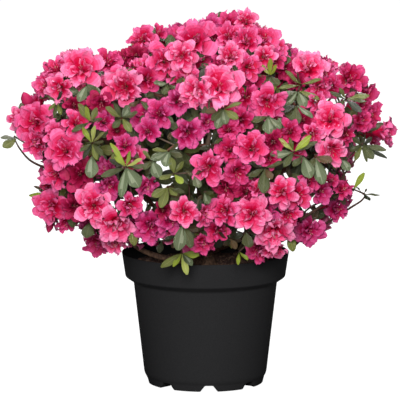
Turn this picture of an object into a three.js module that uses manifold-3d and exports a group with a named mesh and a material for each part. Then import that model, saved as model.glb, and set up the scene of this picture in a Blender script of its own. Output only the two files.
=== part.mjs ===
// Potted azalea shrub: a round nursery pot, its soil, a short woody stem, boughs, and the
// masses of twigs, leaves and double blossoms that make up its wide domed crown.
// Millimetres, +Z up. The origin is on the pot's axis, in the plane its feet stand on, and
// the crown is seen from the -Y side. Bearings turn from -Y towards +X.

import * as THREE from 'three';
import { mergeVertices } from 'three/addons/utils/BufferGeometryUtils.js';
import Module from 'manifold-3d';

const wasm = await Module();
wasm.setup();

const DEG = Math.PI / 180;
const GOLDEN_TURN = Math.PI * (3 - Math.sqrt(5));
const MERGE_DISTANCE = 1e-3;
const JOIN_TOLERANCE = 0.001;
const CLEAR = 0.3;

// The pot
const POT_HEIGHT = 150;
const RIM_RADIUS = 95;
const BAND_HEIGHT = 27;
const BAND_FOOT_RADIUS = 91;
const BAND_CHAMFER = 6.5;
const WALL_TOP_RADIUS = 81.7;
const WALL_FOOT_RADIUS = 69.8;
const WALL_FOOT_HEIGHT = 13;
const WALL_THICKNESS = 1.8;
const POT_SIDES = 32;
const FOOT_HEIGHT = 7.3;
const FOOT_RADIUS = 65.5;
const FOOT_TOP_RADIUS = 67.3;
const FOOT_INNER_RADIUS = 50;
const FLOOR_HEIGHT = 9.3;
const FLOOR_RADIUS = 66;
const NOTCHES = 8;
const FIRST_NOTCH = 3.5 * DEG;
const NOTCH_TOP_WIDTH = 8.7;
const NOTCH_FOOT_WIDTH = 20;
const DRAIN_RADIUS = 4;
const DRAIN_PLACE = 56;

// The soil
const SOIL_HEIGHT = 134;
const SOIL_CROWNING = 1.4;
const SOIL_FLAT_RADIUS = 18;

// The stem and the boughs
const TRUNK_TOP = 166;
const TRUNK_LEAN = [2, 3];
const TRUNK_FLARE_RADIUS = 15;
const TRUNK_RADIUS = 9.5;
const TRUNK_TOP_RADIUS = 8;
const TRUNK_SIDES = 10;
const BOUGH_SIDES = 5;
const BOUGH_STEPS = 4;

// The crown
const CROWN_CENTRE = new THREE.Vector3(-3, 2, 270);
const CROWN_HALF_WIDTH = 225;
const CROWN_HALF_DEPTH = 213;
const CROWN_RISE = 161;
const CROWN_DROP = 145;
// How far the outline reaches, as a share of the plain dome, by degrees up from +X.
const OUTLINE_REACH = [
  [-180, 0.99], [-167, 0.86], [-150, 0.98], [-138, 1.03], [-127, 0.97], [-90, 0.95],
  [-58, 1.01], [-34, 0.91], [-22, 0.96], [-11, 0.89], [0, 0.98], [14, 0.97], [31, 0.99],
  [46, 0.89], [58, 0.87], [76, 1.01], [90, 0.97], [105, 0.91], [122, 0.86], [139, 1.03],
  [157, 1.0], [180, 0.99],
];
const POT_KEEP_OUT = { radius: 99, height: 154 };

// The sprigs at the ends of the twigs
const LAYERS = [
  { places: 200, seed: 1, reach: 1, leafiness: 0.1 },
  { places: 90, seed: 1001, reach: 0.84, leafiness: 1 },
];
const LOWEST_SPRIG = -0.86;
const CROWDED = 31.2;
const AXIS_JITTER = 0.8;
const TOP_CROWDING = 0.19;
const SPIRAL_JITTER = 0.16;
const CELL_GAP = 0.3;
const TWIG_RADIUS = 1.3;
const TWIG_THICKENING = 0.4;
const BLOSSOM_RADIUS = 26;
const BLOSSOM_LOBES = 5;
const BLOSSOM_DEPTH = 15;
const THROAT_DEPTH = 4;
const LEAF_LENGTH = 33;
const LEAF_WIDTH = 15;
const LEAVES_IN_ROSETTE = 5;
const HUB_RADIUS = 2.8;
const HUB_RISE = 2;
const ROOT_SHARE = 0.5;
const NECK = 6;
const NECK_COSINE = 0.64;
const KNUCKLE = 8;
// Leafy places with few blossoms: bearing, height above the crown's middle, both in
// degrees, and spread. The far side of the crown repeats them.
const LEAFY_PLACES = [
  [-36, 12, 13], [-21, 12, 8], [-20, 1, 8], [-7, -3, 9], [-36, 26, 7], [34, 24, 10],
  [7, 17, 5], [58, 20, 8], [32, 3, 7], [62, 1, 7], [-6, -27, 8], [17, -34, 8], [19, -2, 6],
];

// Sprigs that stand out from the dome: where each starts, and the way it faces.
const STRAYS = [
  { kind: 'leaves', base: [-212, -30, 266], axis: [-1, -0.2, 0.35], size: 0.62 },
  { kind: 'blossom', base: [-190, -72, 304], axis: [-0.8, -0.6, 0.15], size: 0.8 },
  { kind: 'bud', base: [-196, -55, 322], axis: [-0.5, -0.2, 0.9], size: 0.36 },
  { kind: 'blossom', base: [200, -52, 290], axis: [1, -0.35, 0.1], size: 0.82 },
  { kind: 'leaves', base: [180, -60, 220], axis: [1, -0.2, -0.1], size: 0.6 },
  { kind: 'bud', base: [-158, -98, 184], axis: [-0.6, -0.5, -0.4], size: 0.4 },
  { kind: 'leaves', base: [-172, -70, 218], axis: [-1, -0.3, -0.15], size: 0.55 },
  { kind: 'leaves', base: [-18, -112, 166], axis: [-0.1, -0.7, -0.7], size: 0.85 },
];

// The finishes
const FINISHES = {
  pot: { color: 0x2b2b2d, roughness: 0.45, metalness: 0 },
  soil: { color: 0x2e2119, roughness: 0.95, metalness: 0 },
  bark: { color: 0x5a3d2b, roughness: 0.85, metalness: 0 },
  foliage: { color: 0xd2245f, roughness: 0.6, metalness: 0 },
};

// A stream of even numbers from 0 to 1, the same each time for one seed.
function numberStream(seed) {
  let state = (seed * 7919 + 104729) % 2147483647;
  return () => {
    state = (state * 16807) % 2147483647;
    return state / 2147483647;
  };
}

function mix(a, b, share) {
  return a + (b - a) * share;
}

function fromBearing(bearing, radius, height) {
  return new THREE.Vector3(radius * Math.sin(bearing), -radius * Math.cos(bearing), height);
}

// A closed mesh as a solid that can be cut and joined.
function solidOf(geometry) {
  geometry.deleteAttribute('normal');
  geometry.deleteAttribute('uv');
  const merged = mergeVertices(geometry, MERGE_DISTANCE);
  const corners = merged.index.array;
  const triangles = [];
  for (let i = 0; i < corners.length; i += 3) {
    const [a, b, c] = corners.slice(i, i + 3);
    if (a !== b && b !== c && c !== a) triangles.push(a, b, c);
  }
  return new wasm.Manifold(new wasm.Mesh({
    numProp: 3,
    vertProperties: new Float32Array(merged.attributes.position.array),
    triVerts: new Uint32Array(triangles),
    tolerance: JOIN_TOLERANCE,
  }));
}

function geometryOf(solid) {
  const mesh = solid.getMesh();
  const geometry = new THREE.BufferGeometry();
  geometry.setAttribute('position', new THREE.BufferAttribute(mesh.vertProperties, 3));
  geometry.setIndex(new THREE.BufferAttribute(mesh.triVerts, 1));
  geometry.computeVertexNormals();
  return geometry;
}

function facedGeometry(points, faces) {
  const geometry = new THREE.BufferGeometry().setFromPoints(points);
  geometry.setIndex(faces.flat());
  return geometry;
}

// The largest body of a solid: loose scraps are dropped and sealed hollows are filled.
function mainBody(solid) {
  const bodies = solid.decompose();
  return bodies.reduce((best, body) => (body.volume() > best.volume() ? body : best));
}

// The main body with the corners that lie together merged, less what that sets loose.
function settled(solid) {
  return mainBody(solidOf(geometryOf(mainBody(solid))));
}

// A round body turned from a profile of radius and height.
function turned(profile) {
  const points = profile.map(([radius, height]) => new THREE.Vector2(radius, height));
  return solidOf(new THREE.LatheGeometry(points, POT_SIDES).rotateX(Math.PI / 2));
}

// A limb of flat-sided rings, one ring at each point of its path.
function limbGeometry(path, radii, sides) {
  const last = path.length - 1;
  const points = [];
  const faces = [];
  const start = path[1].clone().sub(path[0]);
  let across = new THREE.Vector3(0, 0, 1);
  if (Math.abs(start.z) > 0.8 * start.length()) across.set(1, 0, 0);
  path.forEach((centre, i) => {
    const along = path[Math.min(i + 1, last)].clone().sub(path[Math.max(i - 1, 0)]).normalize();
    across = across.clone().addScaledVector(along, -across.dot(along)).normalize();
    const over = along.clone().cross(across);
    for (let s = 0; s < sides; s += 1) {
      const turn = (2 * Math.PI * s) / sides;
      points.push(centre.clone()
        .addScaledVector(across, radii[i] * Math.cos(turn))
        .addScaledVector(over, radii[i] * Math.sin(turn)));
    }
  });
  for (let i = 0; i < last; i += 1) {
    for (let s = 0; s < sides; s += 1) {
      const a = i * sides + s;
      const b = i * sides + ((s + 1) % sides);
      faces.push([a, b, b + sides], [a, b + sides, a + sides]);
    }
  }
  const top = last * sides;
  for (let s = 1; s < sides - 1; s += 1) {
    faces.push([0, s + 1, s], [top, top + s, top + s + 1]);
  }
  return facedGeometry(points, faces);
}

function limb(path, radii, sides) {
  return solidOf(limbGeometry(path, radii, sides));
}

function bandFoot() {
  return POT_HEIGHT - BAND_HEIGHT;
}

function bandRadius(height) {
  return mix(BAND_FOOT_RADIUS, RIM_RADIUS, (height - bandFoot()) / BAND_HEIGHT);
}

// One notch through the foot ring: narrow at the floor, wide where the pot stands.
function notchCutter(bearing) {
  const outline = new THREE.Shape([
    new THREE.Vector2(-NOTCH_TOP_WIDTH / 2, FOOT_HEIGHT),
    new THREE.Vector2(-NOTCH_FOOT_WIDTH / 2, -1),
    new THREE.Vector2(NOTCH_FOOT_WIDTH / 2, -1),
    new THREE.Vector2(NOTCH_TOP_WIDTH / 2, FOOT_HEIGHT),
  ]);
  const depth = FOOT_TOP_RADIUS + 4 - (FOOT_INNER_RADIUS - 6);
  const cutter = new THREE.ExtrudeGeometry(outline, { depth, bevelEnabled: false });
  cutter.rotateX(Math.PI / 2).translate(0, -(FOOT_INNER_RADIUS - 6), 0).rotateZ(bearing);
  return solidOf(cutter);
}

function drainCutter(bearing) {
  const cutter = new THREE.CylinderGeometry(DRAIN_RADIUS, DRAIN_RADIUS, FOOT_HEIGHT, 8);
  const place = fromBearing(bearing, DRAIN_PLACE, FOOT_HEIGHT + 1);
  return solidOf(cutter.rotateX(Math.PI / 2).translate(place.x, place.y, place.z));
}

function potSolid() {
  const under = bandFoot() - BAND_CHAMFER;
  let pot = turned([
    [0, FOOT_HEIGHT],
    [FOOT_INNER_RADIUS - 1, FOOT_HEIGHT],
    [FOOT_INNER_RADIUS, 0],
    [FOOT_RADIUS, 0],
    [FOOT_TOP_RADIUS, FOOT_HEIGHT],
    [WALL_FOOT_RADIUS, WALL_FOOT_HEIGHT],
    [WALL_TOP_RADIUS, under],
    [BAND_FOOT_RADIUS, bandFoot()],
    [RIM_RADIUS, POT_HEIGHT],
    [RIM_RADIUS - WALL_THICKNESS, POT_HEIGHT],
    [BAND_FOOT_RADIUS - WALL_THICKNESS, bandFoot() + 1],
    [WALL_TOP_RADIUS - WALL_THICKNESS, under + 1],
    [WALL_FOOT_RADIUS - WALL_THICKNESS, WALL_FOOT_HEIGHT],
    [FLOOR_RADIUS, FLOOR_HEIGHT],
    [0, FLOOR_HEIGHT],
  ]);
  for (let i = 0; i < NOTCHES; i += 1) {
    const bearing = FIRST_NOTCH + (2 * Math.PI * i) / NOTCHES;
    pot = pot.subtract(notchCutter(bearing)).subtract(drainCutter(bearing));
  }
  return pot;
}

// The soil fills the pot to a little under its rim, flat where the stem stands.
function soilSolid() {
  const under = bandFoot() - BAND_CHAMFER;
  const inset = WALL_THICKNESS + CLEAR + 0.1;
  return turned([
    [0, FLOOR_HEIGHT + CLEAR],
    [FLOOR_RADIUS - 0.6, FLOOR_HEIGHT + CLEAR],
    [WALL_FOOT_RADIUS - inset, WALL_FOOT_HEIGHT + CLEAR],
    [WALL_TOP_RADIUS - inset, under + 1 + CLEAR],
    [BAND_FOOT_RADIUS - inset, bandFoot() + 1 + CLEAR],
    [bandRadius(SOIL_HEIGHT) - inset, SOIL_HEIGHT - SOIL_CROWNING],
    [RIM_RADIUS * 0.55, SOIL_HEIGHT + SOIL_CROWNING],
    [SOIL_FLAT_RADIUS, SOIL_HEIGHT],
    [0, SOIL_HEIGHT],
  ]);
}

// The short stem: a flat cut on the soil, a root flare, a slight lean and a knuckle.
const trunkPath = [0, 0.16, 0.42, 0.75, 1].map((share) => new THREE.Vector3(
  TRUNK_LEAN[0] * share,
  TRUNK_LEAN[1] * share,
  mix(SOIL_HEIGHT + CLEAR, TRUNK_TOP, share),
));
const trunkRadii = [
  TRUNK_FLARE_RADIUS,
  mix(TRUNK_FLARE_RADIUS, TRUNK_RADIUS, 0.6),
  TRUNK_RADIUS,
  TRUNK_RADIUS * 1.05,
  TRUNK_TOP_RADIUS,
];

function trunkSolid(growth) {
  const radii = trunkRadii.map((radius) => radius + growth);
  const path = trunkPath.map((point) => point.clone());
  if (growth) {
    path[0].z -= growth;
    path[path.length - 1].z += growth;
  } else {
    const upright = limbGeometry(path, radii, TRUNK_SIDES);
    const position = upright.attributes.position;
    for (let i = 0; i < TRUNK_SIDES; i += 1) position.setZ(i, path[0].z);
    return solidOf(upright);
  }
  return limb(path, radii, TRUNK_SIDES);
}

// One ring of masses: how many, the bearing of the first, where each is centred, where its
// bough ends, how thick the bough is at its root and its end, and what it grows from: the
// stem at a height, or the leader from a share of its length on, one above the other.
const MASS_RINGS = [
  {
    name: 'top', count: 1, first: 0, radius: 0, height: 385,
    endRadius: 4, endHeight: 318, thick: 5, thin: 2.8, root: { height: 164, out: 0 }, rise: 12,
  },
  {
    name: 'side', count: 6, first: 8, radius: 150, height: 285,
    endRadius: 92, endHeight: 246, thick: 4.4, thin: 2.9, root: { height: 159, out: 5 }, rise: 1.1,
  },
  {
    name: 'low', count: 6, first: -22, radius: 152, height: 198,
    endRadius: 96, endHeight: 190, thick: 3.5, thin: 2.6, root: { height: 148, out: 5 }, rise: 0.45,
  },
  {
    name: 'high', count: 6, first: 38, radius: 96, height: 358,
    endRadius: 58, endHeight: 308, thick: 3.2, thin: 2.6, root: { share: 0.2, step: 0.07 }, rise: 1.2,
  },
];

// Every mass with its name, its centre, and its bough's path and thickness.
function massPlan() {
  const masses = [];
  for (const ring of MASS_RINGS) {
    for (let i = 0; i < ring.count; i += 1) {
      const bearing = (ring.first + (360 * i) / ring.count) * DEG;
      const name = ring.count > 1 ? `${ring.name}_${i + 1}` : ring.name;
      const end = fromBearing(bearing, ring.endRadius, ring.endHeight);
      const curve = boughCurve(ring, bearing, boughRoot(ring, bearing, i, masses[0]), end);
      const path = curve.getPoints(BOUGH_STEPS);
      const radii = path.map((_, step) => mix(ring.thick, ring.thin, step / BOUGH_STEPS));
      const centre = fromBearing(bearing, ring.radius, ring.height);
      masses.push({ name, centre, end, curve, path, radii });
    }
  }
  return masses;
}

function boughRoot(ring, bearing, place, leader) {
  if (ring.root.share) return leader.curve.getPoint(ring.root.share + ring.root.step * place);
  const lean = (ring.root.height - SOIL_HEIGHT) / (TRUNK_TOP - SOIL_HEIGHT);
  const outward = fromBearing(bearing, ring.root.out, ring.root.height);
  return outward.add(new THREE.Vector3(TRUNK_LEAN[0] * lean, TRUNK_LEAN[1] * lean, 0));
}

// A bough leaves its root outwards with a certain rise, then bends to its end.
function boughCurve(ring, bearing, root, end) {
  const leaving = fromBearing(bearing, 1, ring.rise).normalize();
  const middle = root.clone().addScaledVector(leaving, end.distanceTo(root) / 2);
  return new THREE.QuadraticBezierCurve3(root, middle, end);
}

// Each bough is cut clear of the stem and of the boughs made before it.
function growBoughs(masses) {
  const made = [trunkSolid(CLEAR)];
  for (const mass of masses) {
    let bough = limb(mass.path, mass.radii, BOUGH_SIDES);
    for (const neighbour of made) bough = bough.subtract(neighbour);
    mass.bough = settled(bough);
    mass.grown = limb(mass.path, mass.radii.map((radius) => radius + CLEAR), BOUGH_SIDES);
    made.push(mass.grown);
  }
}

function outlineReach(degrees) {
  const after = OUTLINE_REACH.findIndex(([angle]) => angle >= degrees);
  if (after < 1) return OUTLINE_REACH[0][1];
  const [a, reachA] = OUTLINE_REACH[after - 1];
  const [b, reachB] = OUTLINE_REACH[after];
  return mix(reachA, reachB, (degrees - a) / (b - a));
}

// A point's direction from the crown's middle once the dome is scaled to a ball.
function domePlace(point) {
  const offset = point.clone().sub(CROWN_CENTRE);
  const rise = offset.z > 0 ? CROWN_RISE : CROWN_DROP;
  return new THREE.Vector3(offset.x / CROWN_HALF_WIDTH, offset.y / CROWN_HALF_DEPTH, offset.z / rise);
}

function reachTowards(direction) {
  const sideways = 1 - direction.y * direction.y;
  const outline = outlineReach(Math.atan2(direction.z, direction.x) / DEG);
  return 1 + sideways * (outline - 1);
}

function domePoint(direction, share) {
  const rise = direction.z > 0 ? CROWN_RISE : CROWN_DROP;
  const reach = share * reachTowards(direction);
  return new THREE.Vector3(
    direction.x * CROWN_HALF_WIDTH * reach,
    direction.y * CROWN_HALF_DEPTH * reach,
    direction.z * rise * reach,
  ).add(CROWN_CENTRE);
}

// How far out a point lies, as a share of the crown's reach in its direction.
function outwardShare(point) {
  const place = domePlace(point);
  const share = place.length();
  return share / reachTowards(place.divideScalar(share));
}

// Three directions square to one another, the last one along the given axis.
function frameOn(axis, turn) {
  const helper = Math.abs(axis.z) < 0.9 ? new THREE.Vector3(0, 0, 1) : new THREE.Vector3(1, 0, 0);
  const first = helper.clone().cross(axis).normalize();
  const second = axis.clone().cross(first);
  const across = first.clone().multiplyScalar(Math.cos(turn)).addScaledVector(second, Math.sin(turn));
  return { across, over: axis.clone().cross(across), along: axis };
}

function inFrame(frame, origin, x, y, z) {
  return origin.clone()
    .addScaledVector(frame.across, x)
    .addScaledVector(frame.over, y)
    .addScaledVector(frame.along, z);
}

// A blossom's rim: five ruffled lobes, three points to each.
function blossomRim(sprig, frame) {
  const rim = [];
  for (let i = 0; i < BLOSSOM_LOBES * 3; i += 1) {
    const turn = (2 * Math.PI * i) / (BLOSSOM_LOBES * 3);
    const notch = i % 3 === 0;
    const reach = sprig.size * BLOSSOM_RADIUS * (notch ? 0.68 : 1);
    const lift = notch ? -1.5 : 2.5 * (i % 3);
    const height = sprig.size * (BLOSSOM_DEPTH + lift);
    rim.push(inFrame(frame, sprig.base, reach * Math.cos(turn), reach * Math.sin(turn), height));
  }
  return rim;
}

// The three outer points of one leaf of a rosette: edge, tip, edge.
function leafPoints(sprig, frame, leaf) {
  const turn = ((leaf + 0.5) * 2 * Math.PI) / sprig.leaves;
  const length = LEAF_LENGTH * sprig.size * (leaf % 2 ? 0.86 : 1);
  const outward = Math.sin(sprig.lean);
  const upward = Math.cos(sprig.lean);
  const half = (LEAF_WIDTH * sprig.size) / 2;
  return [[0.55, -half, 0], [1, 0, -0.1 * length], [0.55, half, 0]].map(([share, aside, droop]) => {
    const out = share * length * outward;
    const x = out * Math.cos(turn) - aside * Math.sin(turn);
    const y = out * Math.sin(turn) + aside * Math.cos(turn);
    return inFrame(frame, sprig.base, x, y, share * length * upward + droop);
  });
}

// A rosette's rim: a hub point between each two leaves, and the points of the leaves that
// it keeps.
function rosetteRim(sprig, frame) {
  const rim = [];
  for (let leaf = 0; leaf < sprig.leaves; leaf += 1) {
    const turn = (leaf * 2 * Math.PI) / sprig.leaves;
    rim.push(inFrame(frame, sprig.base, HUB_RADIUS * Math.cos(turn), HUB_RADIUS * Math.sin(turn), 0));
    if (!sprig.dropped.has(leaf)) rim.push(...leafPoints(sprig, frame, leaf));
  }
  return rim;
}

// A sprig's head: its rim all round and the middle point of its upper side.
function headOf(sprig) {
  const frame = frameOn(sprig.axis, sprig.turn);
  const rim = sprig.leafy ? rosetteRim(sprig, frame) : blossomRim(sprig, frame);
  const middle = sprig.leafy ? HUB_RISE : sprig.size * (BLOSSOM_DEPTH - THROAT_DEPTH);
  return { frame, rim, middle: inFrame(frame, sprig.base, 0, 0, middle) };
}

// A three-sided twig with its head, as one closed surface. The path runs from the head
// down to the root, and the rings turn no more than the path does.
function stalked(path, radii, head) {
  const points = [];
  const faces = [];
  const last = path.length - 1;
  let across = head.frame.across;
  path.forEach((centre, i) => {
    const along = path[Math.max(i - 1, 0)].clone().sub(path[Math.min(i + 1, last)]).normalize();
    if (i === 0) along.copy(head.frame.along);
    across = across.clone().addScaledVector(along, -across.dot(along)).normalize();
    const over = along.clone().cross(across);
    for (let s = 0; s < 3; s += 1) {
      const turn = (2 * Math.PI * s) / 3;
      const [x, y] = [radii[i] * Math.cos(turn), radii[i] * Math.sin(turn)];
      points.push(inFrame({ across, over, along }, centre, x, y, 0));
    }
  });
  for (let i = 0; i < last; i += 1) {
    for (let s = 0; s < 3; s += 1) {
      const next = (s + 1) % 3;
      const root = 3 * (i + 1);
      faces.push([root + s, root + next, 3 * i + next], [root + s, 3 * i + next, 3 * i + s]);
    }
  }
  faces.push([3 * last, 3 * last + 2, 3 * last + 1]);
  const rimStart = points.length;
  const count = head.rim.length;
  const middle = rimStart + count;
  const sector = (edge) => Math.floor((((edge + 0.5) / count) * 3 + 0.5)) % 3;
  points.push(...head.rim, head.middle);
  for (let i = 0; i < count; i += 1) {
    const here = rimStart + i;
    const next = rimStart + ((i + 1) % count);
    const before = sector((i + count - 1) % count);
    faces.push([middle, here, next], [sector(i), next, here]);
    if (before !== sector(i)) faces.push([before, sector(i), here]);
  }
  return solidOf(facedGeometry(points, faces));
}

function isLeafy(bearing, height) {
  return LEAFY_PLACES.some(([placeBearing, placeHeight, spread]) => {
    const mirrored = ((bearing - placeBearing) % 180 + 270) % 180 - 90;
    return Math.hypot(mirrored * Math.cos(height * DEG), height - placeHeight) < spread;
  });
}

// One sprig for each place of an even spiral over the dome, in an outer layer of blossoms
// and leaves and an inner one of leaves.
function planLayer(layer) {
  const sprigs = [];
  for (let k = 0; k < layer.places; k += 1) {
    const draw = numberStream(layer.seed + k);
    const even = 1 - (2 * (k + 0.5)) / layer.places;
    const height = (even * (1 + TOP_CROWDING)) / (1 + TOP_CROWDING * Math.abs(even));
    const girth = Math.sqrt(1 - height * height);
    const turn = k * GOLDEN_TURN + (SPIRAL_JITTER * (draw() - 0.5)) / (girth + 0.2);
    const direction = new THREE.Vector3(girth * Math.cos(turn), girth * Math.sin(turn), height);
    const base = domePoint(direction, layer.reach);
    const offset = base.clone().sub(CROWN_CENTRE);
    const bearing = Math.atan2(offset.x, -offset.y) / DEG;
    const rise = Math.atan2(offset.z, Math.hypot(offset.x, offset.y)) / DEG;
    const leafy = draw() < layer.leafiness || isLeafy(bearing, rise);
    const axis = direction.clone();
    axis.z *= direction.z < 0 ? 0.35 : 1.3;
    axis.add(new THREE.Vector3(draw() - 0.5, draw() - 0.5, draw() - 0.35).multiplyScalar(AXIS_JITTER));
    const depth = draw() * draw() * (leafy ? 0.16 : 0.1);
    const sprig = { leafy, base, axis: axis.normalize(), share: layer.reach - depth };
    sprig.turn = 2 * Math.PI * draw();
    sprig.size = (leafy ? 0.9 : 0.86) + 0.2 * draw();
    sprig.leaves = LEAVES_IN_ROSETTE;
    sprig.lean = (50 + 22 * draw()) * DEG;
    sprig.dropped = new Set();
    if (height > LOWEST_SPRIG) sprigs.push(sprig);
  }
  return sprigs;
}

function planStrays() {
  return STRAYS.map(({ kind, base, axis, size }) => ({
    leafy: kind === 'leaves',
    stray: true,
    base: new THREE.Vector3(...base),
    axis: new THREE.Vector3(...axis).normalize(),
    turn: 0,
    size,
    leaves: 3,
    lean: 50 * DEG,
    dropped: new Set(),
  }));
}

// Moves a sprig along its line from the crown's middle until its furthest point is in place.
function fitToDome(sprig) {
  for (let pass = 0; pass < 4; pass += 1) {
    const furthest = Math.max(...headOf(sprig).rim.map(outwardShare));
    const offset = sprig.base.clone().sub(CROWN_CENTRE);
    sprig.base = CROWN_CENTRE.clone().addScaledVector(offset, sprig.share / furthest);
  }
}

// The flat walls between one mass's space and each other's, half way between centres.
function spaceWalls(mass, masses) {
  return masses.filter((other) => other !== mass).map((other) => {
    const normal = other.centre.clone().sub(mass.centre).normalize();
    const halfway = mass.centre.clone().add(other.centre).multiplyScalar(0.5);
    return { normal, offset: normal.dot(halfway) - CELL_GAP };
  });
}

function isInside(points, walls) {
  return walls.every((wall) => points.every((point) => wall.normal.dot(point) < wall.offset));
}

// Moves a sprig off the walls of its mass's space by as much as it crosses them.
function fitToSpace(sprig, walls) {
  for (let pass = 0; pass < 3; pass += 1) {
    for (const wall of walls) {
      const furthest = Math.max(...headOf(sprig).rim.map((point) => wall.normal.dot(point)));
      const excess = furthest - wall.offset + 0.1;
      if (excess > 0) sprig.base.addScaledVector(wall.normal, -excess);
    }
  }
}

function clearsPot(points) {
  return points.every((point) => (
    Math.hypot(point.x, point.y) > POT_KEEP_OUT.radius || point.z > POT_KEEP_OUT.height));
}

function nearest(masses, point) {
  return masses.reduce((best, mass) => (
    mass.centre.distanceTo(point) < best.centre.distanceTo(point) ? mass : best));
}

function headPlace(sprig) {
  return sprig.base.clone().addScaledVector(sprig.axis, BLOSSOM_DEPTH);
}

function clearsBoughs(solid, masses) {
  return masses.every((mass) => solid.intersect(mass.grown).isEmpty());
}

function headSolid(sprig) {
  const neck = sprig.base.clone().addScaledVector(sprig.axis, -NECK);
  return stalked([sprig.base, neck], [TWIG_RADIUS, TWIG_RADIUS], headOf(sprig));
}

// Gives a sprig to the mass whose space it lies in, and drops leaves that leave that space.
function shareOut(sprig, masses) {
  const mass = nearest(masses, sprig.base);
  if (!sprig.stray) fitToSpace(sprig, mass.walls);
  if (sprig.leafy) {
    const frame = frameOn(sprig.axis, sprig.turn);
    for (let leaf = 0; leaf < sprig.leaves; leaf += 1) {
      const points = leafPoints(sprig, frame, leaf);
      if (!isInside(points, mass.walls) || !clearsPot(points)) sprig.dropped.add(leaf);
    }
    if (sprig.leaves - sprig.dropped.size < 2) return;
  }
  const points = headOf(sprig).rim;
  const crowded = mass.sprigs.some((other) => headPlace(other).distanceTo(headPlace(sprig)) < CROWDED);
  const inside = isInside([...points, sprig.base], mass.walls) && clearsPot(points);
  if (!crowded && inside && clearsBoughs(headSolid(sprig), masses)) mass.sprigs.push(sprig);
}

function shareOutSprigs(masses) {
  for (const mass of masses) {
    mass.sprigs = [];
    mass.walls = spaceWalls(mass, masses);
  }
  for (const sprig of LAYERS.flatMap(planLayer)) {
    fitToDome(sprig);
    shareOut(sprig, masses);
  }
  for (const sprig of planStrays()) shareOut(sprig, masses);
}

function middleOf(sprigs) {
  const middle = new THREE.Vector3();
  for (const sprig of sprigs) middle.addScaledVector(sprig.base, 1 / sprigs.length);
  return middle;
}

// Splits sprigs in two about the pair that lie furthest apart.
function splitSprigs(sprigs) {
  let pair = [sprigs[0], sprigs[1]];
  let widest = 0;
  sprigs.forEach((one, i) => sprigs.slice(i + 1).forEach((other) => {
    const distance = one.base.distanceTo(other.base);
    if (distance > widest) {
      widest = distance;
      pair = [one, other];
    }
  }));
  const [left, right] = pair;
  const nearLeft = (sprig) => sprig.base.distanceTo(left.base) <= sprig.base.distanceTo(right.base);
  return [sprigs.filter(nearLeft), sprigs.filter((sprig) => !nearLeft(sprig))];
}

function twigRadius(sprigs) {
  return TWIG_RADIUS * sprigs.length ** TWIG_THICKENING;
}

// Twigs that fork on the way to their sprigs: the larger share of each fork carries on
// the same twig, and the smaller starts a new one inside it.
function growTwig(path, radii, sprigs, twigs) {
  if (sprigs.length === 1) {
    const [sprig] = sprigs;
    const arriving = sprig.base.clone().sub(path[0]).normalize();
    if (arriving.dot(sprig.axis) < NECK_COSINE) {
      path.unshift(sprig.base.clone().addScaledVector(sprig.axis, -NECK));
      radii.unshift(TWIG_RADIUS);
    }
    twigs.push({ path: [sprig.base, ...path], radii: [TWIG_RADIUS, ...radii], sprig });
    return;
  }
  const share = sprigs.length === 2 ? 0.55 : 0.42;
  const fork = path[0].clone().lerp(middleOf(sprigs), share);
  const radius = twigRadius(sprigs);
  const [large, small] = splitSprigs(sprigs).sort((one, other) => other.length - one.length);
  growTwig([fork, ...path], [radius, ...radii], large, twigs);
  growTwig([fork], [ROOT_SHARE * radius], small, twigs);
}

// One mass: a stem from the bough's end, its twigs, and their blossoms and rosettes.
function massSolid(mass, masses) {
  const along = mass.path[BOUGH_STEPS].clone().sub(mass.path[BOUGH_STEPS - 1]).normalize();
  const start = mass.end.clone().addScaledVector(along, CLEAR);
  const knuckle = mass.end.clone().addScaledVector(along, KNUCKLE);
  const twigs = [];
  const radius = twigRadius(mass.sprigs);
  growTwig([knuckle, start], [radius, radius], mass.sprigs, twigs);
  const solids = twigs
    .map((twig) => ({ twig, solid: stalked(twig.path, twig.radii, headOf(twig.sprig)) }))
    .filter(({ twig, solid }) => twig.path.includes(start) || clearsBoughs(solid, masses))
    .map(({ solid }) => solid);
  return settled(solids.reduce((whole, solid) => whole.add(solid)));
}

function addMesh(group, name, solid, finish) {
  const mesh = new THREE.Mesh(geometryOf(solid), new THREE.MeshStandardMaterial(FINISHES[finish]));
  mesh.name = name;
  group.add(mesh);
}

const azalea = new THREE.Group();
azalea.name = 'potted_azalea';
const masses = massPlan();
growBoughs(masses);
shareOutSprigs(masses);

addMesh(azalea, 'pot', potSolid(), 'pot');
addMesh(azalea, 'soil', soilSolid(), 'soil');
addMesh(azalea, 'trunk', trunkSolid(0), 'bark');
for (const mass of masses) {
  addMesh(azalea, `bough_${mass.name}`, mass.bough, 'bark');
  addMesh(azalea, `foliage_${mass.name}`, massSolid(mass, masses), 'foliage');
}

export default azalea;
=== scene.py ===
# The looks of a potted azalea in full bloom: its bark, its finer twigs, its leaves, its
# double blossoms, the nursery pot and the compost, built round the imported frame.
import math
from types import SimpleNamespace

import bpy
import numpy as np
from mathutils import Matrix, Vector, noise


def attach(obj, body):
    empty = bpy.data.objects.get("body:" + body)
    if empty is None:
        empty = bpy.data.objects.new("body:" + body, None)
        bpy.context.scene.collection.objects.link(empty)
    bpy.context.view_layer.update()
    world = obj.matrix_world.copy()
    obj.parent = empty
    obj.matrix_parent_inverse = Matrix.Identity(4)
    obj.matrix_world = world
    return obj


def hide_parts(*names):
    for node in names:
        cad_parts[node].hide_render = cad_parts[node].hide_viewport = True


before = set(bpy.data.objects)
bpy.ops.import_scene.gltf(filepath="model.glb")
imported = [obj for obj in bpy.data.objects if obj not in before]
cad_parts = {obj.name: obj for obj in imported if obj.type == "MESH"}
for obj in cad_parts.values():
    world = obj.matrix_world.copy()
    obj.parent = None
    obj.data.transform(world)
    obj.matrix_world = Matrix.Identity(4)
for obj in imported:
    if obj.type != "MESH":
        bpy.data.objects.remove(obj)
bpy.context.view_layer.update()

MM = 0.001
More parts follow.
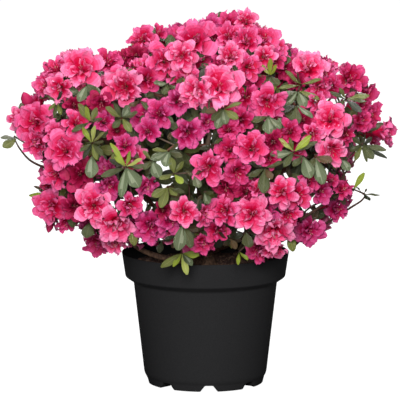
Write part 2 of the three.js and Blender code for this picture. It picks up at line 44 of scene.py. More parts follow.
DEG = math.pi / 180
GOLDEN_TURN = math.pi * (3 - math.sqrt(5))
FULL_TURN = 2 * math.pi
UP = np.array([0.0, 0.0, 1.0])
SIDEWAYS = np.array([1.0, 0.0, 0.0])
PLACE_LAYER = "Place"

# The number streams
STREAM_MODULUS = 2147483647
STREAM_STEP = 16807
SEED_STEP = 7919
SEED_START = 104729
FRONT_SEED = 7001
SOIL_SEED = 77

# The pot, in millimetres
POT_HEIGHT = 150
RIM_RADIUS = 95
BAND_HEIGHT = 27
BAND_FOOT_RADIUS = 91
BAND_CHAMFER = 6.5
WALL_TOP_RADIUS = 81.7
WALL_FOOT_RADIUS = 69.8
WALL_FOOT_HEIGHT = 13
WALL_THICKNESS = 1.8
FOOT_HEIGHT = 7.3
FOOT_RADIUS = 65.5
FOOT_TOP_RADIUS = 67.3
FOOT_INNER_RADIUS = 50
FLOOR_HEIGHT = 9.3
FLOOR_RADIUS = 66
NOTCHES = 8
FIRST_NOTCH = 3.5 * DEG
NOTCH_TOP_WIDTH = 8.7
NOTCH_FOOT_WIDTH = 20
POT_STEPS = 288
POT_RING_SPACING = 9
SOIL_HEIGHT = 134
SOIL_STEPS = 96
SOIL_RINGS = 34
CRUMBS = 900

# The stem and the boughs
TRUNK_TOP = 166
TRUNK_LEAN = np.array([2.0, 3.0])
TRUNK_FLARE_RADIUS = 15
TRUNK_RADIUS = 9.5
TRUNK_TOP_RADIUS = 8
TRUNK_SIDES = 36
BOUGH_SIDES = 14
BOUGH_STEPS = 34
# A second, low stem that leans out to the left over the compost.
LOW_STEM = ((2, -2, 138), (-28, -38, 146), (-62, -42, 154), (-89, -22, 166))
LOW_STEM_THICK = 4.4
LOW_STEM_THIN = 2.6
LOW_STEM_STEPS = 12

# The crown
CROWN_CENTRE = np.array([-3.0, 2.0, 270.0])
CROWN_HALF_WIDTH = 225
CROWN_HALF_DEPTH = 213
CROWN_RISE = 161
CROWN_DROP = 145
# How far the outline reaches, as a share of the plain dome, by degrees up from +X.
OUTLINE_REACH = (
    (-180, 0.99), (-167, 0.86), (-150, 0.98), (-138, 1.03), (-127, 0.97), (-90, 0.95),
    (-58, 1.01), (-34, 0.91), (-22, 0.96), (-11, 0.89), (0, 0.98), (14, 0.97), (31, 0.99),
    (46, 0.89), (58, 0.87), (76, 1.01), (90, 0.97), (105, 0.91), (122, 0.86), (139, 1.03),
    (157, 1.0), (180, 0.99),
)
POT_KEEP_OUT_RADIUS = 99
POT_KEEP_OUT_HEIGHT = 154
LOWEST_SPRIG = -0.86
AXIS_JITTER = 0.8
JITTER_MIDDLE = (0.5, 0.5, 0.35)
AXIS_RISE = 1.3
AXIS_DROP = 0.35
TOP_CROWDING = 0.19
SPIRAL_JITTER = 0.16
POLE_EASE = 0.2
SIZE_SPREAD = 0.26
# How far a rosette's leaves lean out, in degrees: the least, and how much more it can be.
ROSETTE_LEANS = (50, 22)
ROSETTE_SAG = 0.7
RIM_POINTS = 8
DOME_FITS = 4
OUTLINE_FITS = 8
INWARD_STEP = 0.96
# A direction steeper than this is squared with a level one.
STEEP_AXIS = 0.9
STEEP_TUBE = 0.8
TWIG_RADIUS = 1.0
TWIG_THICKENING = 0.4
ROOT_SHARE = 0.6
FORK = 0.42
LAST_FORK = 0.55
NECK = 6
NECK_COSINE = 0.64
KNUCKLE = 8
BLOSSOM_RADIUS = 26
BLOSSOM_DEPTH = 15
BUD_LENGTH = 20
LEAF_LENGTH = 23
LEAF_WIDTH = 11
# By what a sprig carries: how deep it may sit, its least size, how far it keeps from other
# sprigs, and how far from a gap.
KINDS = {
    "blossom": SimpleNamespace(depth=0.1, size=0.72, spacing=25, gap_margin=18),
    "leaves": SimpleNamespace(depth=0.16, size=0.86, spacing=19, gap_margin=9),
}
SHADE_MARGIN = 9
BOUGH_MARGIN = 12
BOUGH_SAMPLES = 13
BOUGH_NEAR_END = 0.75


def table(keys, *rows):
    """Rows of values as dictionaries that share their keys."""
    return [dict(zip(keys.split(), row)) for row in rows]


# The rings of masses, with their boughs. The high boughs leave the leader one above another.
MASS_RINGS = table(
    "name count first radius height end_radius end_height thick thin rise root_height out",
    ("top", 1, 0, 0, 385, 4, 318, 5, 2.8, 12, 164, 0),
    ("side", 6, 8, 150, 285, 92, 246, 4.4, 2.9, 1.1, 159, 5),
    ("low", 6, -22, 152, 198, 96, 190, 3.5, 2.6, 0.45, 148, 5),
    ("high", 6, 38, 96, 358, 58, 308, 3.2, 2.6, 1.2, None, None),
)
LEADER_FIRST_FORK = 0.2
LEADER_FORK_STEP = 0.07
# The layers of sprigs: the solids' own two, then finer ones between and behind them, and
# one more on the far side only, where none are listed.
NOWHERE_NEAR = -1000
FAR_SIDE = 25
LAYERS = table(
    "places seed reach leafiness inner nearest",
    (200, 1, 1.0, 0.06, False, NOWHERE_NEAR),
    (280, 2001, 0.98, 0.06, False, NOWHERE_NEAR),
    (200, 3001, 0.9, 0.3, False, NOWHERE_NEAR),
    (120, 1001, 0.82, 0.55, True, NOWHERE_NEAR),
    (110, 4001, 0.68, 1.0, True, NOWHERE_NEAR),
    (460, 5001, 0.97, 0.12, False, FAR_SIDE),
)
# Leafy places with few blossoms: bearing, height above the crown's middle, both in
# degrees, and spread. The far side of the crown repeats them.
LEAFY_PLACES = (
    (-36, 12, 13), (-21, 12, 8), (-20, 1, 8), (-7, -3, 9), (-36, 26, 7), (34, 24, 10),
    (7, 17, 5), (58, 20, 8), (32, 3, 7), (62, 1, 7), (-6, -27, 8), (17, -34, 8), (19, -2, 6),
)
LEAFY_SHARE = 0.6
# Where the photo's main blossoms show, in its pixels: across, down, how far each faces
# right and up, its width, and its tint.
# Blossoms in shadow get the last tint, a darker copy of the pinks that is painted shade.
FRONT_BLOSSOMS = (
    (82, 70, -0.1, 0.3, 46, "bright"), (57, 70, -0.4, 0.6, 28, "rose"),
    (47, 86, -0.5, 0.2, 28, "rose"), (60, 88, -0.2, -0.2, 30, "bright"),
    (36, 122, -0.3, 0.1, 44, "rose"), (20, 118, -0.3, 0.1, 26, "bright"),
    (38, 142, -0.4, -0.2, 32, "rose"), (76, 123, 0.1, 0.3, 30, "rose"),
    (74, 106, 0.0, 0.2, 24, "painted_shade_crimson"), (56, 134, -0.1, 0.2, 26, "rose"),
    (66, 151, -0.1, 0.1, 44, "rose"), (104, 122, 0.1, 0.2, 24, "magenta"),
    (107, 63, 0.3, 0.6, 30, "cerise"), (124, 61, 0.0, 0.6, 24, "painted_shade_crimson"),
    (125, 87, -0.1, 0.0, 48, "bright"), (101, 103, 0.0, -0.3, 30, "painted_shade_crimson"),
    (58, 174, -0.3, 0.0, 34, "rose"), (48, 184, -0.7, 0.0, 24, "rose"),
    (80, 174, 0.0, 0.1, 38, "painted_shade_crimson"), (52, 206, -0.3, -0.2, 38, "rose"),
    (74, 206, 0.2, 0.0, 28, "painted_shade_crimson"), (66, 222, 0.1, -0.8, 22, "cerise"),
    (94, 206, 0.0, 0.0, 42, "bright"), (116, 222, 0.0, -0.5, 40, "bright"),
    (97, 240, -0.1, -0.6, 32, "cerise"), (115, 240, 0.0, -0.9, 28, "bright"),
    (109, 184, 0.1, -0.5, 30, "magenta"), (163, 210, 0.0, 0.0, 18, "painted_shade_crimson"),
    (129, 205, 0.3, -0.1, 30, "rose"), (147, 184, 0.2, -0.7, 26, "magenta"),
    (150, 225, 0.0, -0.2, 38, "magenta"), (169, 221, 0.5, -0.2, 28, "magenta"),
    (125, 146, 0.1, 0.3, 26, "magenta"), (117, 131, 0.0, 0.0, 20, "painted_shade_crimson"),
    (143, 40, -0.2, 0.3, 32, "rose"), (158, 34, 0.2, 0.8, 20, "cerise"),
    (137, 56, -0.1, 0.2, 24, "painted_shade_crimson"), (165, 61, 0.1, 0.1, 42, "rose"),
    (195, 41, 0.0, 0.3, 46, "rose"), (182, 56, 0.0, 0.1, 34, "bright"),
    (147, 79, 0.2, 0.1, 30, "cerise"), (211, 28, 0.1, 0.3, 28, "magenta"),
    (229, 25, -0.1, 0.2, 26, "cerise"), (246, 22, 0.0, 0.3, 27, "bright"),
    (229, 38, -0.1, 0.3, 32, "rose"), (246, 42, 0.1, 0.3, 32, "rose"),
    (231, 57, 0.0, 0.2, 30, "bright"), (248, 67, 0.2, 0.0, 28, "rose"),
    (264, 40, 0.2, 0.5, 32, "rose"), (277, 51, 0.4, 0.5, 26, "rose"),
    (264, 57, 0.1, 0.0, 26, "bright"), (219, 88, 0.1, 0.3, 50, "bright"),
    (197, 92, -0.5, -0.2, 36, "bright"), (246, 97, 0.2, 0.0, 28, "cerise"),
    (254, 81, 0.0, 0.1, 20, "painted_shade_crimson"), (148, 131, 0.0, 0.1, 26, "magenta"),
    (160, 114, -0.1, 0.1, 32, "magenta"), (178, 101, 0.2, 0.1, 32, "magenta"),
    (188, 132, 0.1, -0.1, 36, "magenta"), (206, 122, 0.5, 0.0, 22, "magenta"),
    (209, 167, -0.1, -0.1, 38, "rose"), (229, 130, 0.0, 0.1, 26, "cerise"),
    (241, 120, 0.0, 0.0, 30, "cerise"), (230, 150, -0.1, 0.1, 32, "cerise"),
    (252, 149, 0.1, 0.1, 36, "rose"), (236, 172, 0.2, -0.3, 30, "cerise"),
    (226, 187, 0.0, -0.3, 26, "painted_shade_crimson"), (246, 192, 0.0, 0.2, 26, "painted_shade_crimson"),
    (184, 211, 0.0, 0.0, 30, "bright"), (203, 214, 0.8, -0.3, 26, "rose"),
    (225, 210, -0.3, 0.0, 34, "rose"), (252, 214, 0.0, 0.0, 40, "bright"),
    (257, 190, 0.1, 0.8, 22, "rose"), (274, 230, 0.0, -0.5, 42, "bright"),
    (274, 247, 0.0, -0.9, 28, "bright"), (316, 102, 0.1, 0.0, 22, "rose"),
    (203, 241, 0.2, -0.5, 26, "cerise"), (217, 230, 0.0, -0.3, 26, "cerise"),
    (258, 249, -0.2, -0.6, 28, "cerise"), (282, 192, -0.1, 0.0, 32, "bright"),
    (298, 194, 0.2, 0.0, 30, "rose"), (308, 182, 0.2, 0.4, 22, "cerise"),
    (320, 192, 0.3, 0.1, 24, "magenta"), (288, 214, 0.2, -0.3, 28, "rose"),
    (309, 230, 0.2, -0.3, 34, "magenta"), (342, 190, 0.6, 0.3, 20, "cerise"),
    (336, 209, 0.5, -0.1, 26, "magenta"), (331, 181, 0.3, 0.4, 16, "cerise"),
    (309, 69, 0.0, 0.7, 40, "bright"), (324, 76, 0.4, 0.3, 26, "rose"),
    (349, 81, 0.2, 0.3, 38, "cerise"), (331, 86, 0.0, -0.1, 26, "cerise"),
    (365, 91, 0.9, 0.0, 26, "cerise"), (296, 82, 0.0, 0.0, 22, "painted_shade_crimson"),
    (318, 87, -0.1, -0.3, 28, "rose"), (368, 114, 0.8, 0.0, 30, "cerise"),
    (330, 120, 0.0, 0.2, 42, "bright"), (345, 135, 0.4, 0.1, 20, "cerise"),
    (332, 149, 0.0, -0.4, 34, "bright"), (379, 133, 1.9, -0.1, 38, "rose"),
    (267, 102, 0.0, -0.3, 40, "rose"), (284, 68, 0.1, -0.1, 24, "painted_shade_crimson"),
    (274, 62, 0.1, 0.2, 24, "cerise"), (303, 120, 0.1, 0.2, 24, "painted_shade_crimson"),
    (290, 132, 0.0, 0.1, 28, "cerise"), (312, 134, 0.2, 0.0, 22, "rose"),
    (213, 40, 0.0, 0.1, 24, "painted_shade_crimson"),
    (273, 142, 0.0, 0.0, 26, "painted_shade_crimson"), (360, 122, 0.5, 0.1, 26, "cerise"),
    (270, 159, 0.1, -0.1, 22, "cerise"), (362, 104, 0.5, 0.0, 20, "cerise"),
)
# How far out in the crown each tint's blossoms sit; the painted-shade tint sits deepest.
BLOSSOM_DEPTHS = {"bright": 0.97, "rose": 0.95, "cerise": 0.92, "magenta": 0.91, "painted_shade_crimson": 0.9}
BLOSSOM_OVERLAP = 1.1
# A blossom turned as far to the side as this shows its trumpet, and is open by this share.
SIDE_ON = 1.5
TRUMPET_OPEN = 0.7
# How much of its width a blossom keeps clear of leaf tips round its middle.
HEAD_MIDDLE = 0.42
# The leaves that show between them: where each shoot is, then its leaves by where the tip
# shows, the width, and the tint.
# Of the leaf tints, the second is painted shade: a darker copy of the dark green for leaves in
# shadow.
DARK, SHADE_GREEN, BRONZE, MID, LIME, PALE, PAINTED_SHEEN = range(7)
# The last leaf tint is a painted highlight: a lighter, greyer green for the glint on glossy leaves.
FRONT_SHOOTS = (
    (126, 167, ((111, 143, 6, LIME), (131, 151, 5, LIME), (142, 159, 6, PALE), (114, 157, 5, LIME),
        (101, 177, 8, DARK), (108, 160, 7, SHADE_GREEN), (121, 197, 9, PAINTED_SHEEN),
        (139, 187, 14, PAINTED_SHEEN), (147, 166, 7, DARK))),
    (92, 143, ((81, 127, 6, LIME), (94, 126, 6, PALE), (104, 132, 5, MID), (80, 151, 5, DARK),
        (104, 142, 5, DARK), (103, 155, 6, DARK), (83, 158, 5, SHADE_GREEN), (97, 160, 6, MID))),
    (92, 155, ((91, 178, 14, PAINTED_SHEEN),)),
    (90, 122, ((78, 104, 9, MID), (86, 107, 7, LIME), (98, 108, 8, MID), (72, 131, 6, DARK),
        (102, 119, 6, DARK))),
    (122, 118, ((105, 108, 9, MID), (113, 103, 6, DARK), (129, 106, 11, PAINTED_SHEEN),
        (138, 113, 7, DARK), (113, 128, 7, DARK), (131, 131, 8, MID))),
    (87, 85, ((79, 102, 10, PAINTED_SHEEN), (95, 101, 11, SHADE_GREEN), (101, 92, 7, DARK))),
    (57, 102, ((46, 96, 4, DARK), (49, 109, 4, MID), (62, 91, 4, SHADE_GREEN), (69, 97, 6, SHADE_GREEN),
        (61, 114, 5, MID), (54, 117, 4, DARK), (68, 108, 7, SHADE_GREEN))),
    (48, 193, ((29, 197, 8, LIME), (34, 186, 4, BRONZE))),
    (90, 222, ((86, 237, 13, DARK),)),
    (130, 227, ((135, 245, 9, MID), (126, 221, 5, DARK))),
    (17, 138, ((3, 148, 10, MID), (1, 137, 6, DARK))),
    (168, 84, ((154, 83, 8, PAINTED_SHEEN), (176, 77, 6, DARK), (164, 94, 9, DARK), (180, 91, 7, DARK))),
    (183, 77, ((188, 89, 6, MID), (177, 84, 5, DARK))),
    (223, 109, ((206, 111, 7, BRONZE), (212, 120, 8, DARK), (217, 129, 10, PAINTED_SHEEN),
        (226, 123, 9, PAINTED_SHEEN), (238, 119, 8, MID), (242, 103, 5, MID))),
    (268, 116, ((270, 133, 14, PAINTED_SHEEN), (252, 121, 8, DARK), (281, 129, 8, PAINTED_SHEEN))),
    (270, 76, ((270, 58, 6, LIME), (262, 65, 5, PALE), (277, 65, 6, LIME), (257, 76, 5, DARK),
        (262, 85, 7, DARK), (279, 85, 8, DARK), (270, 89, 7, PAINTED_SHEEN))),
    (301, 85, ((285, 71, 6, MID), (321, 79, 5, MID), (279, 87, 5, MID), (296, 73, 5, DARK))),
    (298, 91, ((280, 96, 8, DARK), (285, 105, 8, PAINTED_SHEEN), (305, 107, 10, PAINTED_SHEEN),
        (319, 98, 7, MID))),
    (296, 105, ((297, 124, 10, DARK), (313, 117, 7, PAINTED_SHEEN), (281, 112, 8, SHADE_GREEN))),
    (346, 99, ((330, 92, 6, DARK), (369, 95, 8, MID), (366, 101, 5, DARK), (361, 112, 9, SHADE_GREEN),
        (336, 108, 6, DARK), (340, 88, 5, MID))),
    (294, 152, ((280, 138, 6, PALE), (311, 136, 9, LIME), (290, 138, 5, MID), (270, 155, 10, PAINTED_SHEEN),
        (318, 142, 6, DARK), (284, 166, 7, DARK))),
    (303, 156, ((311, 179, 13, PAINTED_SHEEN), (293, 165, 8, DARK))),
    (315, 157, ((323, 184, 13, PAINTED_SHEEN), (332, 161, 11, BRONZE), (309, 168, 8, DARK))),
    (340, 158, ((349, 171, 10, PAINTED_SHEEN), (334, 170, 8, DARK), (329, 165, 7, DARK))),
    (362, 145, ((351, 135, 9, DARK), (350, 151, 7, DARK), (373, 138, 7, SHADE_GREEN), (373, 158, 10, DARK),
        (386, 150, 7, DARK), (387, 158, 5, SHADE_GREEN), (367, 162, 4, DARK), (355, 160, 6, MID))),
    (265, 168, ((263, 194, 12, DARK), (284, 163, 7, DARK), (248, 177, 8, DARK), (249, 163, 6, SHADE_GREEN),
        (272, 178, 7, BRONZE))),
    (169, 151, ((151, 160, 10, PAINTED_SHEEN), (182, 157, 8, DARK), (165, 167, 11, PAINTED_SHEEN),
        (153, 149, 6, MID), (178, 144, 7, DARK))),
    (152, 160, ((159, 177, 12, PAINTED_SHEEN), (143, 151, 6, MID), (144, 169, 8, DARK))),
    (174, 174, ((171, 158, 8, MID), (160, 178, 7, MID), (183, 184, 7, LIME), (184, 162, 7, MID))),
    (168, 187, ((152, 196, 10, MID), (177, 196, 7, MID), (161, 208, 10, MID), (184, 192, 7, DARK))),
    (183, 223, ((178, 251, 13, PAINTED_SHEEN), (192, 247, 11, DARK))),
    (182, 253, ((199, 255, 9, LIME), (161, 268, 8, MID), (173, 267, 5, LIME), (187, 275, 7, PALE),
        (192, 266, 8, PAINTED_SHEEN))),
    (239, 252, ((238, 264, 4, LIME), (248, 259, 5, LIME))),
    (246, 231, ((249, 248, 12, DARK),)),
    (289, 232, ((293, 252, 9, MID),)),
    (194, 175, ((199, 188, 9, PAINTED_SHEEN), (186, 172, 6, DARK), (202, 170, 6, DARK))),
    (204, 192, ((209, 204, 8, PAINTED_SHEEN), (213, 194, 6, DARK))),
    (353, 190, ((364, 173, 6, LIME), (357, 187, 3, DARK))),
    (363, 194, ((357, 188, 4, DARK), (367, 189, 4, DARK), (370, 200, 5, SHADE_GREEN), (380, 195, 3, DARK))),
    (212, 145, ((200, 149, 6, SHADE_GREEN), (216, 131, 5, SHADE_GREEN), (222, 139, 6, DARK))),
    (140, 101, ((129, 106, 6, BRONZE), (151, 110, 6, DARK), (134, 95, 6, DARK))),
    (230, 238, ((219, 233, 8, SHADE_GREEN), (242, 234, 8, SHADE_GREEN), (225, 247, 7, SHADE_GREEN),
        (236, 248, 7, BRONZE), (236, 229, 8, SHADE_GREEN), (226, 228, 7, DARK))),
    (162, 241, ((151, 238, 8, SHADE_GREEN), (173, 237, 8, SHADE_GREEN), (159, 252, 7, SHADE_GREEN),
        (142, 240, 7, DARK))),
)
SHOOT_DEPTH = 0.95
# How a placed sprig is set: the way that all face, its full width, how far its base lies
# behind its head, and how much nearer than its base its leaf tips are.
FACES_CAMERA = -0.75
FACES_UP = 0.1
FULL_WIDTHS = {"blossom": 2 * BLOSSOM_RADIUS / BLOSSOM_OVERLAP, "leaves": 30, "bud": BUD_LENGTH}
HEAD_DEPTH = 8
LEAF_NEARER = 8
LEAF_NEARER_STILL = 6
FIRST_SHOOT = 200
FIRST_BUD = 300
FRONT_BUDS = ((30, 108, -0.5, 1.3, 20, "cerise"), (51, 222, -0.3, -1.2, 12, "cerise"),
              (330, 214, 0.8, -0.6, 9, "magenta"))
# Bare twigs that show against the sky, by the pixels that they pass.
LOOSE_TWIGS = (
    ((14, 138), (20, 149), (31, 161), (49, 169), (64, 172)),
    ((366, 195), (361, 201), (350, 208), (325, 224), (306, 230)),
    ((360, 152), (352, 165), (343, 176), (328, 200), (300, 220)),
    ((300, 216), (314, 205), (334, 198), (352, 190)),
)
LOOSE_TWIG_DEPTH = 0.9
# The crown's outline in the photo, in its pixels, going round from the left.
CROWN_OUTLINE = (
    (8, 118), (13, 108), (24, 106), (34, 88), (36, 78), (45, 72), (47, 58), (60, 56), (72, 52),
    (87, 44), (98, 54), (101, 47), (106, 44), (116, 52), (127, 47), (128, 38), (133, 26),
    (152, 22), (165, 26), (170, 30), (182, 22), (198, 16), (216, 15), (226, 15), (237, 13), (243, 9),
    (251, 11), (254, 19), (266, 28), (280, 37), (287, 48), (300, 52), (312, 50), (324, 56), (332, 64),
    (342, 63), (362, 69), (375, 84), (376, 98), (380, 112), (378, 132), (384, 150), (374, 158),
    (350, 165), (352, 200), (349, 213), (327, 229), (319, 243), (303, 249), (292, 251),
    (270, 262), (243, 256), (228, 262), (186, 262), (150, 250), (124, 250), (110, 254),
    (95, 251), (84, 243), (80, 230), (62, 234), (50, 231), (40, 224), (35, 210), (32, 198),
    (36, 186), (44, 168), (38, 153), (24, 146), (12, 130),
)
# Lines of sight that stay open to the sky: across and down in the photo, and radius.
SKY_GAPS = (
    (97, 187, 3), (119, 202, 2), (138, 197, 5), (155, 203, 3), (157, 177, 1), (166, 167, 1),
    (173, 147, 1), (207, 141, 5), (187, 180, 1), (197, 191, 3), (275, 177, 2), (287, 176, 1),
    (296, 182, 1), (326, 172, 4), (306, 210, 4), (334, 98, 2), (372, 172, 12), (378, 182, 10),
    (350, 226, 10), (360, 212, 9), (99, 49, 3), (116, 47, 3),
)
# Places with leaves and shade, and no blossom but those of the list above.
SHADY_PLACES = ((227, 243, 9), (163, 247, 8), (256, 129, 5), (292, 108, 5), (56, 104, 5))
CAMERA_RISE = 8.8 * DEG

# The photo's frame, in its pixels
PIXELS_PER_MM = 0.881
POT_AXIS_PX = 205.4
STANDING_PX = 382
FRAME_PX = 400
CAMERA_DISTANCE = 5000
CAMERA_REACH = 100
SENSOR_WIDTH = 36
SIGHT_STEPS = range(240, -60, -2)
VIEW_TARGET = np.array([
    (FRAME_PX / 2 - POT_AXIS_PX) / PIXELS_PER_MM, 0,
    (STANDING_PX - FRAME_PX / 2) / PIXELS_PER_MM / math.cos(CAMERA_RISE),
])
VIEW_BACK = np.array([0, -math.cos(CAMERA_RISE), math.sin(CAMERA_RISE)])
VIEW_UP = np.array([0, math.sin(CAMERA_RISE), math.cos(CAMERA_RISE)])


def number_stream(seed):
    """A stream of numbers spread evenly from 0 to 1, the same each time for one seed."""
    state = (seed * SEED_STEP + SEED_START) % STREAM_MODULUS

    def draw():
        nonlocal state
        state = (state * STREAM_STEP) % STREAM_MODULUS
        return state / STREAM_MODULUS

    return draw


def dealt(draw, least, more):
    """The stream's next number, from the least up to this much more."""
    return least + more * draw()


def swing(draw, whole):
    """The stream's next number, to both sides of nought and this wide in all."""
    return whole * (draw() - 0.5)


def mix(a, b, share):
    return a + (b - a) * share


def smooth(share):
    share = np.clip(share, 0.0, 1.0)
    return share * share * (3 - 2 * share)


def length_of(vector):
    return math.sqrt(float(vector @ vector))


def unit(vector):
    return vector / length_of(vector)


def from_bearing(bearing, radius, height):
    return np.array([radius * math.sin(bearing), -radius * math.cos(bearing), height])


def turns_round(count):
    return np.linspace(0, FULL_TURN, count, endpoint=False)


def points_of(x, y, z):
    """Points from their coordinates, each an array or a number."""
    return np.stack(np.broadcast_arrays(x, y, z), axis=-1)


def round_axis(radius, turn, height):
    """Points round the upright axis, by distance from it, turn and height."""
    return points_of(radius * np.cos(turn), radius * np.sin(turn), height)


# The source's rule

def bend(points, share):
    """A point on the curve that starts at the first of three points and ends at the last."""
    root, middle, end = points
    return mix(mix(root, middle, share), mix(middle, end, share), share)


def bough_root(ring, bearing, place, leader):
    if ring["root_height"] is None:
        return bend(leader.curve, LEADER_FIRST_FORK + LEADER_FORK_STEP * place)
    lean = (ring["root_height"] - SOIL_HEIGHT) / (TRUNK_TOP - SOIL_HEIGHT)
    outward = from_bearing(bearing, ring["out"], ring["root_height"])
    return outward + np.append(TRUNK_LEAN * lean, 0)


def mass_plan():
    """Every mass with its ring's name, its centre, and its bough's curve and thickness."""
    masses = []
    for ring in MASS_RINGS:
        for place in range(ring["count"]):
            bearing = (ring["first"] + 360 * place / ring["count"]) * DEG
            root = bough_root(ring, bearing, place, masses[0] if masses else None)
            end = from_bearing(bearing, ring["end_radius"], ring["end_height"])
            leaving = unit(from_bearing(bearing, 1, ring["rise"]))
            middle = root + leaving * length_of(end - root) / 2
            masses.append(SimpleNamespace(
                name=f"{ring['name']}_{place + 1}" if ring["count"] > 1 else ring["name"],
                ring=ring["name"],
                centre=from_bearing(bearing, ring["radius"], ring["height"]),
                curve=(root, middle, end),
                thick=ring["thick"],
                thin=ring["thin"],
                sprigs=[],
            ))
    return masses


def reach_towards(direction):
    sideways = 1 - direction[1] ** 2
    degrees = math.atan2(direction[2], direction[0]) / DEG
    return 1 + sideways * (float(np.interp(degrees, *zip(*OUTLINE_REACH))) - 1)


def dome_size(rising):
    return np.array([CROWN_HALF_WIDTH, CROWN_HALF_DEPTH, CROWN_RISE if rising else CROWN_DROP])


def dome_point(direction, share):
    return CROWN_CENTRE + direction * dome_size(direction[2] > 0) * share * reach_towards(direction)


def outward_share(point):
    """How far out a point lies, as a share of the crown's reach in its direction."""
    offset = point - CROWN_CENTRE
    place = offset / dome_size(offset[2] > 0)
    share = length_of(place)
    return share / reach_towards(place / share)


def off_axis(axis, steepest):
    """A direction that isn't along the axis: up, but sideways for an axis steeper than this."""
    return UP if abs(axis[2]) < steepest else SIDEWAYS


def frame_on(axis, turn):
    """Three directions square to one another, as rows, the last one along the given axis."""
    first = unit(np.cross(off_axis(axis, STEEP_AXIS), axis))
    second = np.cross(axis, first)
    across = first * math.cos(turn) + second * math.sin(turn)
    return np.array([across, np.cross(axis, across), axis])


def rim_of(sprig):
    """Points round the widest part of a sprig's head."""
    if sprig.kind == "blossom":
        radius, height = BLOSSOM_RADIUS * sprig.size, BLOSSOM_DEPTH * sprig.size
    else:
        reach = LEAF_LENGTH * sprig.size
        radius, height = reach * math.sin(sprig.lean), reach * math.cos(sprig.lean) * ROSETTE_SAG
    rim = round_axis(radius, turns_round(RIM_POINTS), height)
    return sprig.base + rim @ frame_on(sprig.axis, sprig.turn)


def is_leafy(bearing, rise):
    """Whether a place of the crown is a leafy one, on the near side or on the far side."""
    for place_bearing, place_rise, spread in LEAFY_PLACES:
        mirrored = (bearing - place_bearing + 90) % 180 - 90
        if math.hypot(mirrored * math.cos(rise * DEG), rise - place_rise) < spread * LEAFY_SHARE:
            return True
    return False


def plan_layer(layer):
    """One sprig for each place of an even spiral over the dome."""
    sprigs = []
    for place in range(layer["places"]):
        draw = number_stream(layer["seed"] + place)
        even = 1 - 2 * (place + 0.5) / layer["places"]
        height = even * (1 + TOP_CROWDING) / (1 + TOP_CROWDING * abs(even))
        girth = math.sqrt(1 - height * height)
        turn = place * GOLDEN_TURN + swing(draw, SPIRAL_JITTER) / (girth + POLE_EASE)
        direction = np.array([girth * math.cos(turn), girth * math.sin(turn), height])
        base = dome_point(direction, layer["reach"])
        offset = base - CROWN_CENTRE
        bearing = math.atan2(offset[0], -offset[1]) / DEG
        rise = math.atan2(offset[2], math.hypot(offset[0], offset[1])) / DEG
        leafy = draw() < layer["leafiness"] or is_leafy(bearing, rise)
        kind = "leaves" if leafy else "blossom"
        axis = direction * np.array([1, 1, AXIS_DROP if height < 0 else AXIS_RISE])
        axis = axis + (np.array([draw(), draw(), draw()]) - JITTER_MIDDLE) * AXIS_JITTER
        depth = draw() * draw() * KINDS[kind].depth
        sprig = SimpleNamespace(
            kind=kind,
            base=base,
            axis=unit(axis),
            share=layer["reach"] - depth,
            turn=FULL_TURN * draw(),
            open=1.0,
            size=dealt(draw, KINDS[kind].size, SIZE_SPREAD),
            lean=dealt(draw, *ROSETTE_LEANS) * DEG,
            inner=layer["inner"],
            placed=False,
            # Inner layers get the painted-shade tint: darker blossoms for the shade deep in the
            # crown.
            tint="painted_shade_crimson" if layer["inner"] else None,
            leaves=[],
            draw=draw,
        )
        if height > LOWEST_SPRIG and base[1] > layer["nearest"]:
            sprigs.append(sprig)
    return sprigs


def seen_px(points):
    """Where points show in the photo's frame, across and down in its pixels."""
    offset = points - VIEW_TARGET
    near = 1 - (offset @ VIEW_BACK) / CAMERA_DISTANCE
    return (FRAME_PX / 2 + PIXELS_PER_MM * offset[..., 0] / near,
            FRAME_PX / 2 - PIXELS_PER_MM * (offset @ VIEW_UP) / near)


def at_pixel(across, down, nearness):
    """The point that shows at a pixel, this far towards the camera from the view's target."""
    aside = VIEW_UP * (FRAME_PX / 2 - down) / PIXELS_PER_MM
    aside[0] = (across - FRAME_PX / 2) / PIXELS_PER_MM
    return VIEW_TARGET + VIEW_BACK * nearness + aside * (1 - nearness / CAMERA_DISTANCE)


def seen_at(across, down, share):
    """The point that shows at a pixel and lies this far out in the crown, or nearest to it."""
    nearest, least = None, math.inf
    for nearness in SIGHT_STEPS:
        point = at_pixel(across, down, nearness)
        reach = outward_share(point)
        if reach <= share:
            return point
        if reach < least:
            nearest, least = point, reach
    return nearest


FRONT_HEADS = np.array([
    seen_at(across, down, BLOSSOM_DEPTHS[tint]) for across, down, _, _, _, tint in FRONT_BLOSSOMS
])
FRONT_HEAD_RADII = np.array([
    HEAD_MIDDLE * width / PIXELS_PER_MM for _, _, _, _, width, _ in FRONT_BLOSSOMS
])


def hides_front(tip):
    """Whether a leaf's tip would show in front of the middle of a placed blossom."""
    offset = tip - FRONT_HEADS
    nearer = offset @ VIEW_BACK
    aside = np.linalg.norm(offset - nearer[:, None] * VIEW_BACK, axis=1)
    return bool(np.any((aside < FRONT_HEAD_RADII) & (nearer > -BLOSSOM_DEPTH)))


def in_outline(points):
    """Whether all these points show inside the crown's outline in the photo."""
    across, down = seen_px(points)
    inside = np.zeros(len(points), bool)
    for (x1, y1), (x2, y2) in zip(CROWN_OUTLINE, CROWN_OUTLINE[1:] + CROWN_OUTLINE[:1]):
        if y1 != y2:
            crossing = (down < y1) != (down < y2)
            inside ^= crossing & (across < x1 + (down - y1) * (x2 - x1) / (y2 - y1))
    return bool(inside.all())


